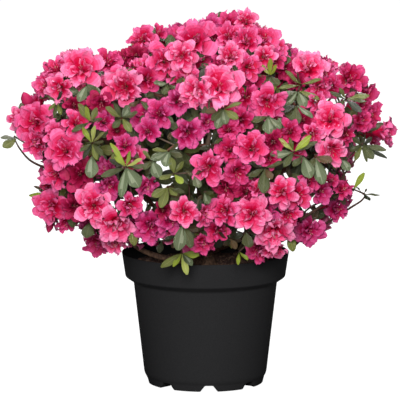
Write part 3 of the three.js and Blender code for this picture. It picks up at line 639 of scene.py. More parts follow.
def front_sprig(kind, place, across, down, right=0, up=0, width=20, tint="rose", leaves=()):
    """A sprig that shows in the photo, facing as it does there."""
    draw = number_stream(FRONT_SEED + place)
    depth = SHOOT_DEPTH if kind == "leaves" else BLOSSOM_DEPTHS[tint]
    axis = unit(np.array([right, FACES_CAMERA, up + FACES_UP]))
    size = width / PIXELS_PER_MM / FULL_WIDTHS[kind]
    base = seen_at(across, down, depth) - axis * (HEAD_DEPTH * size if kind == "blossom" else 0)
    nearness = (base - VIEW_TARGET) @ VIEW_BACK + LEAF_NEARER
    return SimpleNamespace(
        kind=kind, base=base, axis=axis, turn=FULL_TURN * draw(), size=size,
        open=TRUMPET_OPEN if right > SIDE_ON else 1.0, placed=True, tint=tint, draw=draw,
        leaves=[(at_pixel(leaf_across, leaf_down, dealt(draw, nearness, LEAF_NEARER_STILL)),
                 leaf_width / PIXELS_PER_MM, leaf_tint)
                for leaf_across, leaf_down, leaf_width, leaf_tint in leaves],
    )


def plan_front():
    sprigs = [front_sprig("blossom", place, *row) for place, row in enumerate(FRONT_BLOSSOMS)]
    for place, (across, down, leaves) in enumerate(FRONT_SHOOTS, FIRST_SHOOT):
        sprigs.append(front_sprig("leaves", place, across, down, leaves=leaves))
    sprigs += [front_sprig("bud", place, *row) for place, row in enumerate(FRONT_BUDS, FIRST_BUD)]
    return sprigs


def fit_to_dome(sprig):
    """Moves a sprig along its line from the crown's middle until its rim is in place."""
    for _ in range(DOME_FITS):
        furthest = max(outward_share(point) for point in rim_of(sprig))
        sprig.base = CROWN_CENTRE + (sprig.base - CROWN_CENTRE) * sprig.share / furthest
    for _ in range(OUTLINE_FITS):
        if not in_outline(rim_of(sprig)):
            sprig.base = CROWN_CENTRE + (sprig.base - CROWN_CENTRE) * INWARD_STEP


def clears_pot(points):
    out = np.hypot(points[:, 0], points[:, 1])
    return bool(np.all((out > POT_KEEP_OUT_RADIUS) | (points[:, 2] > POT_KEEP_OUT_HEIGHT)))


def shows_at(places, point, margin):
    """Whether something this large at this point would show over one of these round places."""
    across, down = seen_px(point)
    return any(
        math.hypot(across - place_across, down - place_down) < radius + margin * PIXELS_PER_MM
        for place_across, place_down, radius in places
    )


def clears_boughs(point, masses):
    """Whether a point keeps its distance from the line of every bough."""
    shares = np.linspace(0, 1, BOUGH_SAMPLES)[:, None]
    for mass in masses:
        line = bend(mass.curve, shares)
        if np.min(np.linalg.norm(line - point, axis=1)) < BOUGH_MARGIN:
            return False
    return True


def has_room(sprig, head, masses):
    """Whether a sprig of the layers isn't crowded, leaves the gaps open and clears the pot."""
    rule = KINDS[sprig.kind]
    for other in (other for mass in masses for other in mass.sprigs):
        if length_of(other.base + other.axis * BLOSSOM_DEPTH - head) < rule.spacing:
            return False
    rim = rim_of(sprig)
    return (not shows_at(SKY_GAPS, head, rule.gap_margin) and in_outline(rim)
            and clears_pot(rim) and clears_boughs(head, masses))


def share_out(sprig, masses):
    """Gives a sprig to the nearest mass, unless there is no room for it."""
    head = sprig.base + sprig.axis * BLOSSOM_DEPTH
    mass = min(masses, key=lambda one: length_of(one.centre - sprig.base))
    if not sprig.placed and shows_at(SHADY_PLACES, head, SHADE_MARGIN):
        sprig.kind = "leaves"
    if sprig.placed or has_room(sprig, head, masses):
        mass.sprigs.append(sprig)


def middle_of(sprigs):
    return sum(sprig.base for sprig in sprigs) / len(sprigs)


def split_sprigs(sprigs):
    """Splits sprigs in two about the pair that lie furthest apart."""
    bases = np.array([sprig.base for sprig in sprigs])
    gaps = np.linalg.norm(bases[:, None] - bases[None], axis=2)
    left, right = np.unravel_index(int(np.argmax(gaps)), gaps.shape)
    near_left = gaps[:, left] <= gaps[:, right]
    one = [sprig for sprig, near in zip(sprigs, near_left) if near]
    other = [sprig for sprig, near in zip(sprigs, near_left) if not near]
    return sorted((one, other), key=len, reverse=True)


def grow_twig(path, radii, sprigs, twigs):
    """Twigs that fork on the way to their sprigs, from the root at the path's end."""
    if len(sprigs) == 1:
        sprig = sprigs[0]
        if unit(sprig.base - path[0]) @ sprig.axis < NECK_COSINE:
            path = [sprig.base - sprig.axis * NECK, *path]
            radii = [TWIG_RADIUS, *radii]
        twigs.append(SimpleNamespace(
            path=[sprig.base, *path], radii=[TWIG_RADIUS, *radii], sprig=sprig))
        return
    fork = mix(path[0], middle_of(sprigs), LAST_FORK if len(sprigs) == 2 else FORK)
    radius = TWIG_RADIUS * len(sprigs) ** TWIG_THICKENING
    large, small = split_sprigs(sprigs)
    grow_twig([fork, *path], [radius, *radii], large, twigs)
    grow_twig([fork], [ROOT_SHARE * radius], small, twigs)


def plan_crown():
    """The masses with their sprigs shared out and their twigs grown."""
    masses = mass_plan()
    for sprig in plan_front():
        share_out(sprig, masses)
    for layer in LAYERS:
        for sprig in plan_layer(layer):
            fit_to_dome(sprig)
            share_out(sprig, masses)
    for mass in masses:
        mass.twigs = []
        end = mass.curve[2]
        along = unit(end - bend(mass.curve, BOUGH_NEAR_END))
        radius = min(TWIG_RADIUS * len(mass.sprigs) ** TWIG_THICKENING, mass.thin)
        path = [end + along * KNUCKLE, end]
        grow_twig(path, [radius, radius], mass.sprigs, mass.twigs)
    return masses


# Meshes

class Heap:
    """Points, faces, finishes and texture places gathered for one piece."""

    def __init__(self):
        self.points, self.faces, self.finishes, self.places = [], [], [], []
        self.count = 0

    def add(self, points, faces, finishes, places=None):
        """Adds a patch: finishes is one number or one for each face, places one for each point."""
        faces = np.asarray(faces)
        self.points.append(points)
        self.faces.append(faces + self.count)
        self.finishes.append(np.broadcast_to(np.asarray(finishes), (len(faces),)))
        self.places.append(np.zeros((len(points), 2)) if places is None else places)
        self.count += len(points)


def grid_faces(rows, columns, closed=False):
    """Four-sided faces of a grid of points, row by row, closed round if asked."""
    row, column = np.meshgrid(np.arange(rows - 1), np.arange(columns if closed else columns - 1),
                              indexing="ij")
    after = (column + 1) % columns
    corners = (row * columns + column, row * columns + after,
               (row + 1) * columns + after, (row + 1) * columns + column)
    return np.stack([corner.ravel() for corner in corners], axis=1)


def new_object(name, data):
    made = bpy.data.objects.new(name, data)
    bpy.context.scene.collection.objects.link(made)
    return made


def make_piece(name, heap, materials, slot, nodes):
    """One joined mesh from a heap, riding on the plant's body and standing for CAD nodes."""
    points = np.concatenate(heap.points) * MM
    faces = np.concatenate(heap.faces)
    places = np.concatenate(heap.places)
    mesh = bpy.data.meshes.new(name)
    mesh.from_pydata(points.tolist(), [], faces.tolist())
    mesh.polygons.foreach_set("material_index", np.concatenate(heap.finishes).astype(np.int32))
    mesh.polygons.foreach_set("use_smooth", np.ones(len(faces), bool))
    layer = mesh.uv_layers.new(name=PLACE_LAYER)
    corners = np.empty(len(mesh.loops), np.int32)
    mesh.loops.foreach_get("vertex_index", corners)
    layer.data.foreach_set("uv", places[corners].ravel())
    for material in materials:
        mesh.materials.append(material)
    piece = new_object(name, mesh)
    mesh.validate()
    mesh.update()
    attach(piece, "root")
    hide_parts(*nodes)


def smooth_path(path, radii, steps):
    """More points along a path, on a curve that passes through each of its points."""
    path, radii = np.array(path), np.array(radii, float)
    before = np.vstack([2 * path[0] - path[1], path, 2 * path[-1] - path[-2]])
    points, sizes = [], []
    for i in range(len(path) - 1):
        a, b, c, d = before[i:i + 4]
        for t in np.linspace(0, 1, steps, endpoint=False):
            points.append(0.5 * (2 * b + (c - a) * t + (2 * a - 5 * b + 4 * c - d) * t * t
                                 + (3 * b - a - 3 * c + d) * t ** 3))
            sizes.append(mix(radii[i], radii[i + 1], t))
    points.append(path[-1])
    sizes.append(radii[-1])
    return np.array(points), np.array(sizes)


def relief(point, radius, strength):
    """How far bark stands out at a point: long ridges, cracks between them, and knots."""
    ridge = noise.noise(Vector(point * BARK_RIDGES))
    crack = abs(noise.noise(Vector(point * BARK_CRACKS + BARK_CRACKS_AT)))
    fine = noise.noise(Vector(point * BARK_KNOTS))
    depth = CRACK_DEPTH * max(0, CRACK_WIDTH - crack) / CRACK_WIDTH
    return strength * radius * (RIDGE_HEIGHT * ridge - depth + KNOT_HEIGHT * fine)


def add_tube(heap, path, radii, sides, finish, bark=0):
    """A round tube along a path, with the relief of bark at this strength."""
    path = np.asarray(path)
    along = np.gradient(path, axis=0)
    along /= np.linalg.norm(along, axis=1)[:, None]
    across = np.cross(along[0], off_axis(along[0], STEEP_TUBE))
    turns = turns_round(sides)
    rings = []
    for centre, radius, direction in zip(path, radii, along):
        across = unit(across - direction * (across @ direction))
        over = np.cross(direction, across)
        outward = np.cos(turns)[:, None] * across + np.sin(turns)[:, None] * over
        ring = centre + radius * outward
        if bark:
            ring += outward * np.array([[relief(point, radius, bark)] for point in ring])
        rings.append(ring)
    heap.add(np.concatenate(rings), grid_faces(len(path), sides, closed=True), finish)


# Blossoms

# A whorl's tone shifts all its petals' tones; the inner whorl's lift is painted light, paler against
# the shade among its upright petals.
WHORLS = table(
    "petals length width lean rows columns ruffle cup turn tone",
    (6, 30, 19, (18, 90), 9, 6, 4.1, -0.5, 0, 0.06),
    (6, 27, 16, (12, 62), 8, 6, 4.2, 0.6, 30, -0.02),
    (4, 22, 13, (4, 42), 6, 4, 3.4, 1.0, 12, 0.2),
)
# How open a blossom is, and its petals' lengths, widths and waves along an edge: each is
# the least, and how much more it can be.
OPENINGS = (0.72, 0.36)
PETAL_LENGTHS = (0.86, 0.22)
PETAL_WIDTHS = (0.92, 0.16)
PETAL_WAVES = (1.8, 1.7)
# How far they vary to both sides: leans and turns in degrees, curls in millimetres.
LEAN_SWING = 52
TURN_SWING = 24
CURL_SWING = 6
TONE_SWING = 0.26
THROAT_RADIUS = 1.7
# The lean grows from a petal's claw to its tip along this part of it.
LEAN_START = 0.06
LEAN_SPAN = 1.12
CLAW_WIDTH = 0.2
PETAL_SHOULDER = 0.66
PETAL_END = 1.015
TIP_ROUNDNESS = 2.4
ROW_CROWDING = 1.25
# Ruffles grow along the petal and towards its edges by these powers.
RUFFLE_ALONG = 1.4
RUFFLE_ASIDE = 1.6
TIP_ALONG = 3
EDGE_RUFFLE = 0.8
TIP_RUFFLE = 0.55
TIP_WAVES = 2.2
WRAP_EASE = 3
CURL = 0.9
CREASE_DEPTH = 0.9
CREASE_WIDTH = 1.7
PETAL_TONES = 9
TONE_RISE = 1.05
THROAT_SHARE = 0.16
RIM_TONE = 0.12
DEEPEST_TONE = -0.1
BLOTCH = 0.35
FAINT_BLOTCH = 0.08
BLOTCH_SPREAD = 0.22
BLOTCH_PLACES = 5
# The last tint is painted shade: a darker copy of the pinks for blossoms in shadow.
TINTS = ("bright", "rose", "cerise", "magenta", "painted_shade_crimson")
STAMENS = 4
STAMEN_TURN = 30
STAMEN_LENGTHS = (15, 5)
STAMEN_SPREADS = (1.5, 3)
STYLE_LONGER = 4
STAMEN_SHARES = np.array([0.15, 0.5, 0.85, 1.0])
FILAMENT_RADII = (0.32, 0.28, 0.25)
ANTHER_RADII = (0.6, 0.45)
FILAMENT_SIDES = 3
ANTHER_SIDES = 4
BUD_ROWS = 9
BUD_SIDES = 15
BUD_GIRTH = 0.27
BUD_CURVE = (0.12, 0.86)
BUD_TONES = (2, 3)
BUD_FULLNESS = 0.8
BUD_WINDING = 1.1
BUD_FLUTES = 2.5
BUD_FLUTE_DEPTH = 0.14


def petal_outline(along):
    """A petal's half width as a share of its widest, from its claw to its round tip."""
    rising = CLAW_WIDTH + (1 - CLAW_WIDTH) * smooth(along / PETAL_SHOULDER)
    beyond = np.clip((along - PETAL_SHOULDER) / (PETAL_END - PETAL_SHOULDER), 0, 1)
    return np.where(along < PETAL_SHOULDER, rising, np.sqrt(1 - beyond ** TIP_ROUNDNESS))


def places_on(aside, along):
    """Where the points of a petal or leaf lie on it, across and along."""
    places = np.broadcast_arrays(0.5 + 0.5 * aside, along[:, None])
    return np.stack(places, axis=2).reshape(-1, 2)


def petal(whorl, size, open_share, draw):
    """One petal round the blossom's own axis: its points, and each point's place on it."""
    along = 1 - (1 - np.linspace(0, 1, whorl["rows"] + 1)) ** ROW_CROWDING
    aside = np.linspace(-1, 1, whorl["columns"] + 1)
    far = along[:, None]
    length = whorl["length"] * size * dealt(draw, *PETAL_LENGTHS)
    start, end = whorl["lean"]
    end = (end * open_share + swing(draw, LEAN_SWING)) * DEG
    lean = mix(start * DEG, end, smooth(along * LEAN_SPAN - LEAN_START))
    step = np.diff(along, prepend=0) * length
    out = THROAT_RADIUS + np.cumsum(step * np.sin(lean))
    up = np.cumsum(step * np.cos(lean))
    half = 0.5 * whorl["width"] * size * dealt(draw, *PETAL_WIDTHS) * petal_outline(along)
    across = half[:, None] * aside
    edge = np.abs(aside) ** RUFFLE_ASIDE
    waves = dealt(draw, *PETAL_WAVES)
    phase, other_phase, tip_phase = draw(), draw(), draw()
    side_phase = np.where(aside > 0, phase, other_phase)
    wave = np.sin(FULL_TURN * (waves * far + side_phase)) * edge
    tip_wave = np.sin(math.pi * (TIP_WAVES * aside + 2 * tip_phase)) * far ** TIP_ALONG
    grown = far ** RUFFLE_ALONG
    lift = whorl["ruffle"] * size * grown * (EDGE_RUFFLE * wave + TIP_RUFFLE * tip_wave)
    lift += whorl["cup"] * size * edge * grown * 2
    lift += (CURL + swing(draw, CURL_SWING)) * aside * far
    lift -= CREASE_DEPTH * size * np.exp(-(across / CREASE_WIDTH) ** 2) * far
    radius = out[:, None] - np.cos(lean)[:, None] * lift
    height = up[:, None] + np.sin(lean)[:, None] * lift
    turn = across / (out[:, None] + WRAP_EASE)
    return round_axis(radius, turn, height).reshape(-1, 3), places_on(aside, along)


def petal_tones(whorl, shift, blotch):
    """A tone for each face of a petal, from the deep throat to the pale rim."""
    along = ((np.arange(whorl["rows"]) + 0.5) / whorl["rows"])[:, None]
    aside = np.abs((np.arange(whorl["columns"]) + 0.5) / whorl["columns"] * 2 - 1)
    tone = TONE_RISE * smooth((along - THROAT_SHARE) / (1 - THROAT_SHARE))
    tone = tone + RIM_TONE * aside + DEEPEST_TONE + (shift + whorl["tone"])
    tone -= blotch * np.exp(-((along - 0.5) / BLOTCH_SPREAD) ** 2) * (1 - aside)
    return np.clip(np.rint(tone * (PETAL_TONES - 1)), 0, PETAL_TONES - 1).astype(int).ravel()


def turned_about_axis(points, turn):
    cos, sin = math.cos(turn), math.sin(turn)
    return points @ np.array([[cos, sin, 0], [-sin, cos, 0], [0, 0, 1]])


def add_blossom(heap, sprig, tint):
    """A double blossom: two whorls of ruffled petals, and narrow upright ones inside."""
    draw = sprig.draw
    body = frame_on(sprig.axis, sprig.turn)
    open_share = dealt(draw, *OPENINGS) * sprig.open
    upper = draw() * BLOTCH_PLACES
    for whorl in WHORLS:
        faces = grid_faces(whorl["rows"] + 1, whorl["columns"] + 1)
        for place in range(whorl["petals"]):
            points, places = petal(whorl, sprig.size, open_share, draw)
            turn = whorl["turn"] + 360 * place / whorl["petals"] + swing(draw, TURN_SWING)
            blotch = BLOTCH if abs(place - upper) < 1 else FAINT_BLOTCH
            tones = petal_tones(whorl, swing(draw, TONE_SWING), blotch)
            world = sprig.base + turned_about_axis(points, turn * DEG) @ body
            heap.add(world, faces, tones + tint * PETAL_TONES, places)


def add_stamens(heap, sprig):
    """Thin filaments with small anthers, and a longer style, out of the throat."""
    draw = sprig.draw
    body = frame_on(sprig.axis, sprig.turn)
    for place in range(STAMENS):
        turn = dealt(draw, 360 * place / STAMENS, STAMEN_TURN) * DEG
        reach = sprig.size * (dealt(draw, *STAMEN_LENGTHS) + (STYLE_LONGER if place == 0 else 0))
        out = sprig.size * dealt(draw, *STAMEN_SPREADS)
        path = round_axis(out * STAMEN_SHARES ** 2, turn, reach * STAMEN_SHARES)
        path = sprig.base + path @ body
        add_tube(heap, path[:3], FILAMENT_RADII, FILAMENT_SIDES, 0)
        add_tube(heap, path[2:], ANTHER_RADII, ANTHER_SIDES, 1)


def add_bud(heap, sprig, tint):
    """A pointed bud of furled petals, wound round its own axis."""
    length = BUD_LENGTH * sprig.size
    share = np.linspace(0, 1, BUD_ROWS)[:, None]
    start, span = BUD_CURVE
    girth = np.sin(math.pi * np.clip(share * span + start, 0, 1)) ** BUD_FULLNESS
    turns = turns_round(BUD_SIDES)
    fluted = 1 + BUD_FLUTE_DEPTH * np.abs(np.sin(BUD_FLUTES * turns))
    points = round_axis(length * BUD_GIRTH * girth * fluted, turns + BUD_WINDING * share,
                        length * share).reshape(-1, 3)
    deepest, rise = BUD_TONES
    tones = np.rint(deepest + rise * share[:-1]).astype(int).repeat(BUD_SIDES)
    heap.add(sprig.base + points @ frame_on(sprig.axis, sprig.turn),
             grid_faces(BUD_ROWS, BUD_SIDES, closed=True), tones + tint * PETAL_TONES)


# Leaves

LEAF_ROWS = 7
LEAF_ASIDE = np.array([-1, -0.55, -0.07, 0.07, 0.55, 1])
LEAF_TINTS = ("dark", "deep", "bronze", "mid", "lime", "pale", "painted_sheen")
LEAF_ZONES = 2
MIDRIB = 2
# The rows of a glossy leaf that carry a painted highlight strip beside the midrib.
PAINTED_SHEEN_ROWS = slice(1, 5)
STALK_WIDTH = 0.1
WIDEST_BEYOND = 1.45
LEAF_FULLNESS = 0.75
LEAF_TIP_WIDTH = 0.26
LEAF_BEND = 1.2
LEAF_FOLDS = (0.1, 0.3)
LEAF_CUP = 0.045
LEAF_WAVES = 1.5
LEAF_RIPPLE = 0.5
# The tints dealt at random to mature leaves, among them the painted-shade and painted-highlight
# greens.
DARK_TINTS = (DARK, DARK, SHADE_GREEN, PAINTED_SHEEN, DARK, MID, BRONZE)
LIME_TINTS = (LIME, LIME, PALE, MID)
CALYX_TINTS = (MID, LIME)
WHORL_SWING = 0.6
WHORL_LENGTHS = (0.78, 0.36)
WHORL_ROOTS = 3
LEAF_DROOPS = (0.25, 0.5)
DROOPING = 0.85
RISING = -0.5
LEAF_GAP_MARGIN = 4
LEAF_MIDDLE = 0.6
# The two whorls of a shoot: how far up it, how many leaves, and how much further out than the
# shoot's own lean they lean, at the least and at the most.
ROSETTE_WHORLS = ((0, 5, -4, 22), (-8, 5, 8, 34))
# The other whorls: how far up the shoot, how many leaves, and their least and greatest lean.
LIME_WHORL = (3, 4, 10, 42)
COLLAR_WHORL = (-6, 3, 62, 100)
CALYX_WHORL = (-6, 5, 12, 24)
LIME_SHARE = 0.25
SHORT_LEAF = 0.95
LIME_NARROWING = 0.85
CALYX_LENGTH = 7
CALYX_WIDENING = 1.1
# A placed leaf's stalk, how it droops, and the light that it faces.
STALK = 1.5
PLACED_DROOP = 0.3
PLACED_LEVEL = 0.4
LIGHT_SWING = 0.7
LIGHT_NEARER = -0.9
LIGHT_RISE = 0.9


def add_leaf(heap, root, direction, upper, length, width, tint, droop, draw):
    """One leaf, widest beyond its middle, bent down along its length and folded at its midrib."""
    along = np.linspace(0, 1, LEAF_ROWS + 1)
    full = np.sin(math.pi * along ** WIDEST_BEYOND) ** LEAF_FULLNESS
    half = 0.5 * width * (STALK_WIDTH + (1 - STALK_WIDTH) * full)
    half[-1] = LEAF_TIP_WIDTH * half.max()
    bendy = droop * along * LEAF_BEND
    step = np.diff(along, prepend=0) * length
    out = np.cumsum(step * np.cos(bendy))
    down = np.cumsum(step * np.sin(bendy))
    side = np.cross(direction, upper)
    across = half[:, None] * LEAF_ASIDE
    fold = dealt(draw, *LEAF_FOLDS) * np.abs(across)
    ripple = np.sin(FULL_TURN * (LEAF_WAVES * along[:, None] + draw()))
    wave = LEAF_RIPPLE * ripple * LEAF_ASIDE ** 2
    lift = fold + wave - LEAF_CUP * across ** 2 - down[:, None]
    points = (root + out[:, None, None] * direction + across[:, :, None] * side
              + lift[:, :, None] * upper)
    zones = np.zeros((LEAF_ROWS, len(LEAF_ASIDE) - 1), int)
    zones[:, MIDRIB] = 1
    # Glossy leaves get a painted highlight: one strip beside the midrib takes the lighter colour.
    if tint == PAINTED_SHEEN:
        zones[PAINTED_SHEEN_ROWS, MIDRIB - 1 if draw() < 0.5 else MIDRIB + 1] = 1
    heap.add(points.reshape(-1, 3), grid_faces(LEAF_ROWS + 1, len(LEAF_ASIDE)),
             (tint * LEAF_ZONES + zones).ravel(), places_on(LEAF_ASIDE, along))


def leaf_fits(sprig, middle, tip):
    """Whether a leaf is inside the crown, and clear of gaps, pot and placed blossoms."""
    if not (sprig.placed or in_outline(tip[None]) and outward_share(tip) < 1):
        return False
    hides_gap = shows_at(SKY_GAPS, middle, LEAF_GAP_MARGIN)
    return clears_pot(tip[None]) and not hides_gap and not hides_front(tip)


def add_whorl(heap, sprig, whorl, length, tints, wider=1.0):
    """Leaves in a ring round a shoot, each facing out along it."""
    draw = sprig.draw
    rise, count, *leans = whorl
    place = sprig.base + sprig.axis * rise
    body = frame_on(sprig.axis, FULL_TURN * draw())
    for leaf in range(count):
        turn = (leaf + swing(draw, WHORL_SWING)) * FULL_TURN / count
        lean = mix(*leans, draw()) * DEG
        radial = body[0] * math.cos(turn) + body[1] * math.sin(turn)
        direction = sprig.axis * math.cos(lean) + radial * math.sin(lean)
        upper = sprig.axis * math.sin(lean) - radial * math.cos(lean)
        size = length * dealt(draw, *WHORL_LENGTHS)
        if leaf_fits(sprig, place + direction * size * LEAF_MIDDLE, place + direction * size):
            root = place - sprig.axis * WHORL_ROOTS * draw()
            tint = tints[int(draw() * len(tints))]
            droop = dealt(draw, *LEAF_DROOPS) * (1 if draw() < DROOPING else RISING)
            width = size * LEAF_WIDTH / LEAF_LENGTH * wider
            add_leaf(heap, root, direction, upper, size, width, tint, droop, draw)


def add_placed_leaf(heap, sprig, tip, width, tint):
    """A leaf from its shoot to its own tip, turned to the light."""
    draw = sprig.draw
    direction = unit(tip - sprig.base)
    facing = np.array([swing(draw, LIGHT_SWING), LIGHT_NEARER, LIGHT_RISE])
    upper = unit(facing - direction * (facing @ direction))
    root = sprig.base + direction * STALK
    droop = PLACED_DROOP * (draw() - PLACED_LEVEL)
    add_leaf(heap, root, direction, upper, length_of(tip - root), width, tint, droop, draw)


def add_leaves(heap, sprig):
    """A shoot's leaves, or the collar of leaves and the small green lobes under a blossom."""
    for tip, width, tint in sprig.leaves:
        add_placed_leaf(heap, sprig, tip, width, tint)
    if sprig.kind == "leaves" and not sprig.placed:
        length = LEAF_LENGTH * sprig.size
        lean = sprig.lean / DEG
        for rise, count, least, most in ROSETTE_WHORLS:
            whorl = (rise, count, lean + least, lean + most)
            add_whorl(heap, sprig, whorl, length, DARK_TINTS)
        if not sprig.inner and sprig.draw() < LIME_SHARE:
            add_whorl(heap, sprig, LIME_WHORL, length * SHORT_LEAF, LIME_TINTS, LIME_NARROWING)
    if sprig.kind == "blossom":
        add_whorl(heap, sprig, COLLAR_WHORL, LEAF_LENGTH * SHORT_LEAF, DARK_TINTS)
    if sprig.kind != "leaves":
        length = CALYX_LENGTH * sprig.size
        add_whorl(heap, sprig, CALYX_WHORL, length, CALYX_TINTS, CALYX_WIDENING)


# Twigs and boughs

TWIG_STEPS = 4
TWIG_SWAY = 2.2
SWAY_RISE = 0.3
TWIG_UNEVENNESS = 0.07
UNEVEN_PACE = 1.9
THICK_TWIG = 1.9
THICK_TWIG_SIDES = 7
THIN_TWIG_SIDES = 5
LOOSE_TWIG_RADII = (0.8, 1.6)
LOOSE_TWIG_STEPS = 5
LOOSE_TWIG_SIDES = 6
BOUGH_BARK = 0.8
TRUNK_STEPS = 26
TRUNK_FOOT_DEPTH = 1.0
# How fast the bark's relief changes across and along a limb, by its ridges, cracks and knots.
BARK_RIDGES = np.array([0.5, 0.5, 0.09])
BARK_CRACKS = np.array([0.9, 0.9, 0.16])
BARK_CRACKS_AT = np.array([7, 0, 0])
BARK_KNOTS = np.array([1.9, 1.9, 1.1])
RIDGE_HEIGHT = 0.16
CRACK_DEPTH = 0.2
CRACK_WIDTH = 0.16
KNOT_HEIGHT = 0.05
# The stem's radius, by how far up it is.
TRUNK_PROFILE = (
    (0, TRUNK_FLARE_RADIUS), (0.16, mix(TRUNK_FLARE_RADIUS, TRUNK_RADIUS, 0.6)),
    (0.42, TRUNK_RADIUS), (0.75, TRUNK_RADIUS * 1.05), (0.97, TRUNK_TOP_RADIUS), (1, 1),
)


def add_twigs(heap, mass):
    """The mass's twigs, each bent a little between its forks."""
    for number, twig in enumerate(mass.twigs):
        draw = twig.sprig.draw
        path, radii = smooth_path(twig.path, twig.radii, TWIG_STEPS)
        sway = np.sin(np.linspace(0, math.pi, len(path))) * TWIG_SWAY * (draw() - 0.5)
        aside = unit(np.cross(unit(path[-1] - path[0]), np.array([draw(), draw(), SWAY_RISE])))
        uneven = TWIG_UNEVENNESS * np.cos(np.arange(len(radii)) * UNEVEN_PACE + number)
        radii = radii * (1 + uneven)
        sides = THICK_TWIG_SIDES if radii.max() > THICK_TWIG else THIN_TWIG_SIDES
        add_tube(heap, path + sway[:, None] * aside, radii, sides, int(draw() * len(TWIG_COLOURS)))


def add_loose_twigs(heap):
    for pixels in LOOSE_TWIGS:
        points = [seen_at(*pixel, LOOSE_TWIG_DEPTH) for pixel in pixels]
        widths = np.linspace(*LOOSE_TWIG_RADII, len(points))
        path, radii = smooth_path(points, widths, LOOSE_TWIG_STEPS)
        add_tube(heap, path, radii, LOOSE_TWIG_SIDES, 0)


def make_limbs(masses):
    """The stem with its root flare and the boughs, all in one skin of bark."""
    heap = Heap()
    share = np.linspace(0, 1, TRUNK_STEPS)
    path = points_of(*(lean * share for lean in TRUNK_LEAN),
                     mix(SOIL_HEIGHT - TRUNK_FOOT_DEPTH, TRUNK_TOP, share))
    add_tube(heap, path, np.interp(share, *zip(*TRUNK_PROFILE)), TRUNK_SIDES, 0, bark=1.0)
    share = np.linspace(0, 1, BOUGH_STEPS)
    limbs = [(bend(mass.curve, share[:, None]), mix(mass.thick, mass.thin, share))
             for mass in masses]
    low_radii = np.linspace(LOW_STEM_THICK, LOW_STEM_THIN, len(LOW_STEM))
    limbs.append(smooth_path(LOW_STEM, low_radii, LOW_STEM_STEPS))
    for path, radii in limbs:
        add_tube(heap, path, radii, BOUGH_SIDES, 0, bark=BOUGH_BARK)
    nodes = ["trunk", *(f"bough_{mass.name}" for mass in masses)]
    make_piece("stem_and_boughs", heap, [bark_material()], "bark", nodes)


# The pot and the compost

# The most of a side that the rounding of its corner takes.
ROUNDING_LIMIT = 0.45
POT_CENTRE = 0.01
# How far corners of the pot stand out, in or down: at the step, the band's lip and the rim.
STEP_OUT = 1.7
STEP_DOWN = 2.6
LIP_IN = 1.2
LIP_DOWN = 1.1
RIM_IN = 0.3
RIM_DOWN = 2.2
CRUMB_SIDES = 7
CRUMB_RINGS = 5
CRUMB_SIZES = (0.9, 2.6)
CRUMB_SHARE = 0.7
CRUMB_ROUGHNESS = (0.75, 0.5)
CRUMB_WIDTHS = (0.45, 0.5)
CRUMB_HEIGHTS = (0.35, 0.4)
CRUMB_POLE = 0.12
CRUMB_TURN = 6.28
CRUMB_RISE = 0.3
CRUMB_EDGE_GAP = 4
CRUMB_SINK = 0.4
SOIL_EDGE_SINK = 0.6
SOIL_REACH = 1.2
# The compost's unevenness: how fast each wave changes, which one it is, and its height.
SOIL_WAVES = ((0.03, 3.1, 1.4), (0.11, 8.4, 1.3), (0.33, 1.7, 0.8))


def rounded(corners, steps=4):
    """A profile with each corner rounded: corners are (radius, height, rounding)."""
    profile = []
    for i, (radius, height, rounding) in enumerate(corners):
        here = np.array([radius, height], float)
        if rounding == 0:
            profile.append(here)
            continue
        before = np.array(corners[i - 1][:2], float) - here
        after = np.array(corners[i + 1][:2], float) - here
        start = here + unit(before) * min(rounding, ROUNDING_LIMIT * length_of(before))
        end = here + unit(after) * min(rounding, ROUNDING_LIMIT * length_of(after))
        profile.extend(bend((start, here, end), t) for t in np.linspace(0, 1, steps + 1))
    return np.array(profile)


def turned(profile, steps):
    """A round body's points, turned from a profile of radius and height."""
    turns = turns_round(steps)
    radius, height = profile[:, :1], profile[:, 1:]
    return points_of(radius * np.sin(turns), -radius * np.cos(turns), height).reshape(-1, 3)


def cut_notches(points):
    """Lifts the foot ring over each notch, narrow at the top and wide where the pot stands."""
    out = np.hypot(points[:, 0], points[:, 1])
    bearing = np.arctan2(points[:, 0], -points[:, 1]) - FIRST_NOTCH
    pitch = FULL_TURN / NOTCHES
    aside = np.abs((bearing + pitch / 2) % pitch - pitch / 2) * out
    slope = (NOTCH_FOOT_WIDTH / 2 - aside) / (NOTCH_FOOT_WIDTH / 2 - NOTCH_TOP_WIDTH / 2)
    lifted = FOOT_HEIGHT * np.clip(slope, 0, 1)
    in_foot = (out > FOOT_INNER_RADIUS - 2) & (points[:, 2] < FOOT_HEIGHT)
    points[:, 2] = np.where(in_foot, np.maximum(points[:, 2], lifted), points[:, 2])
    return points


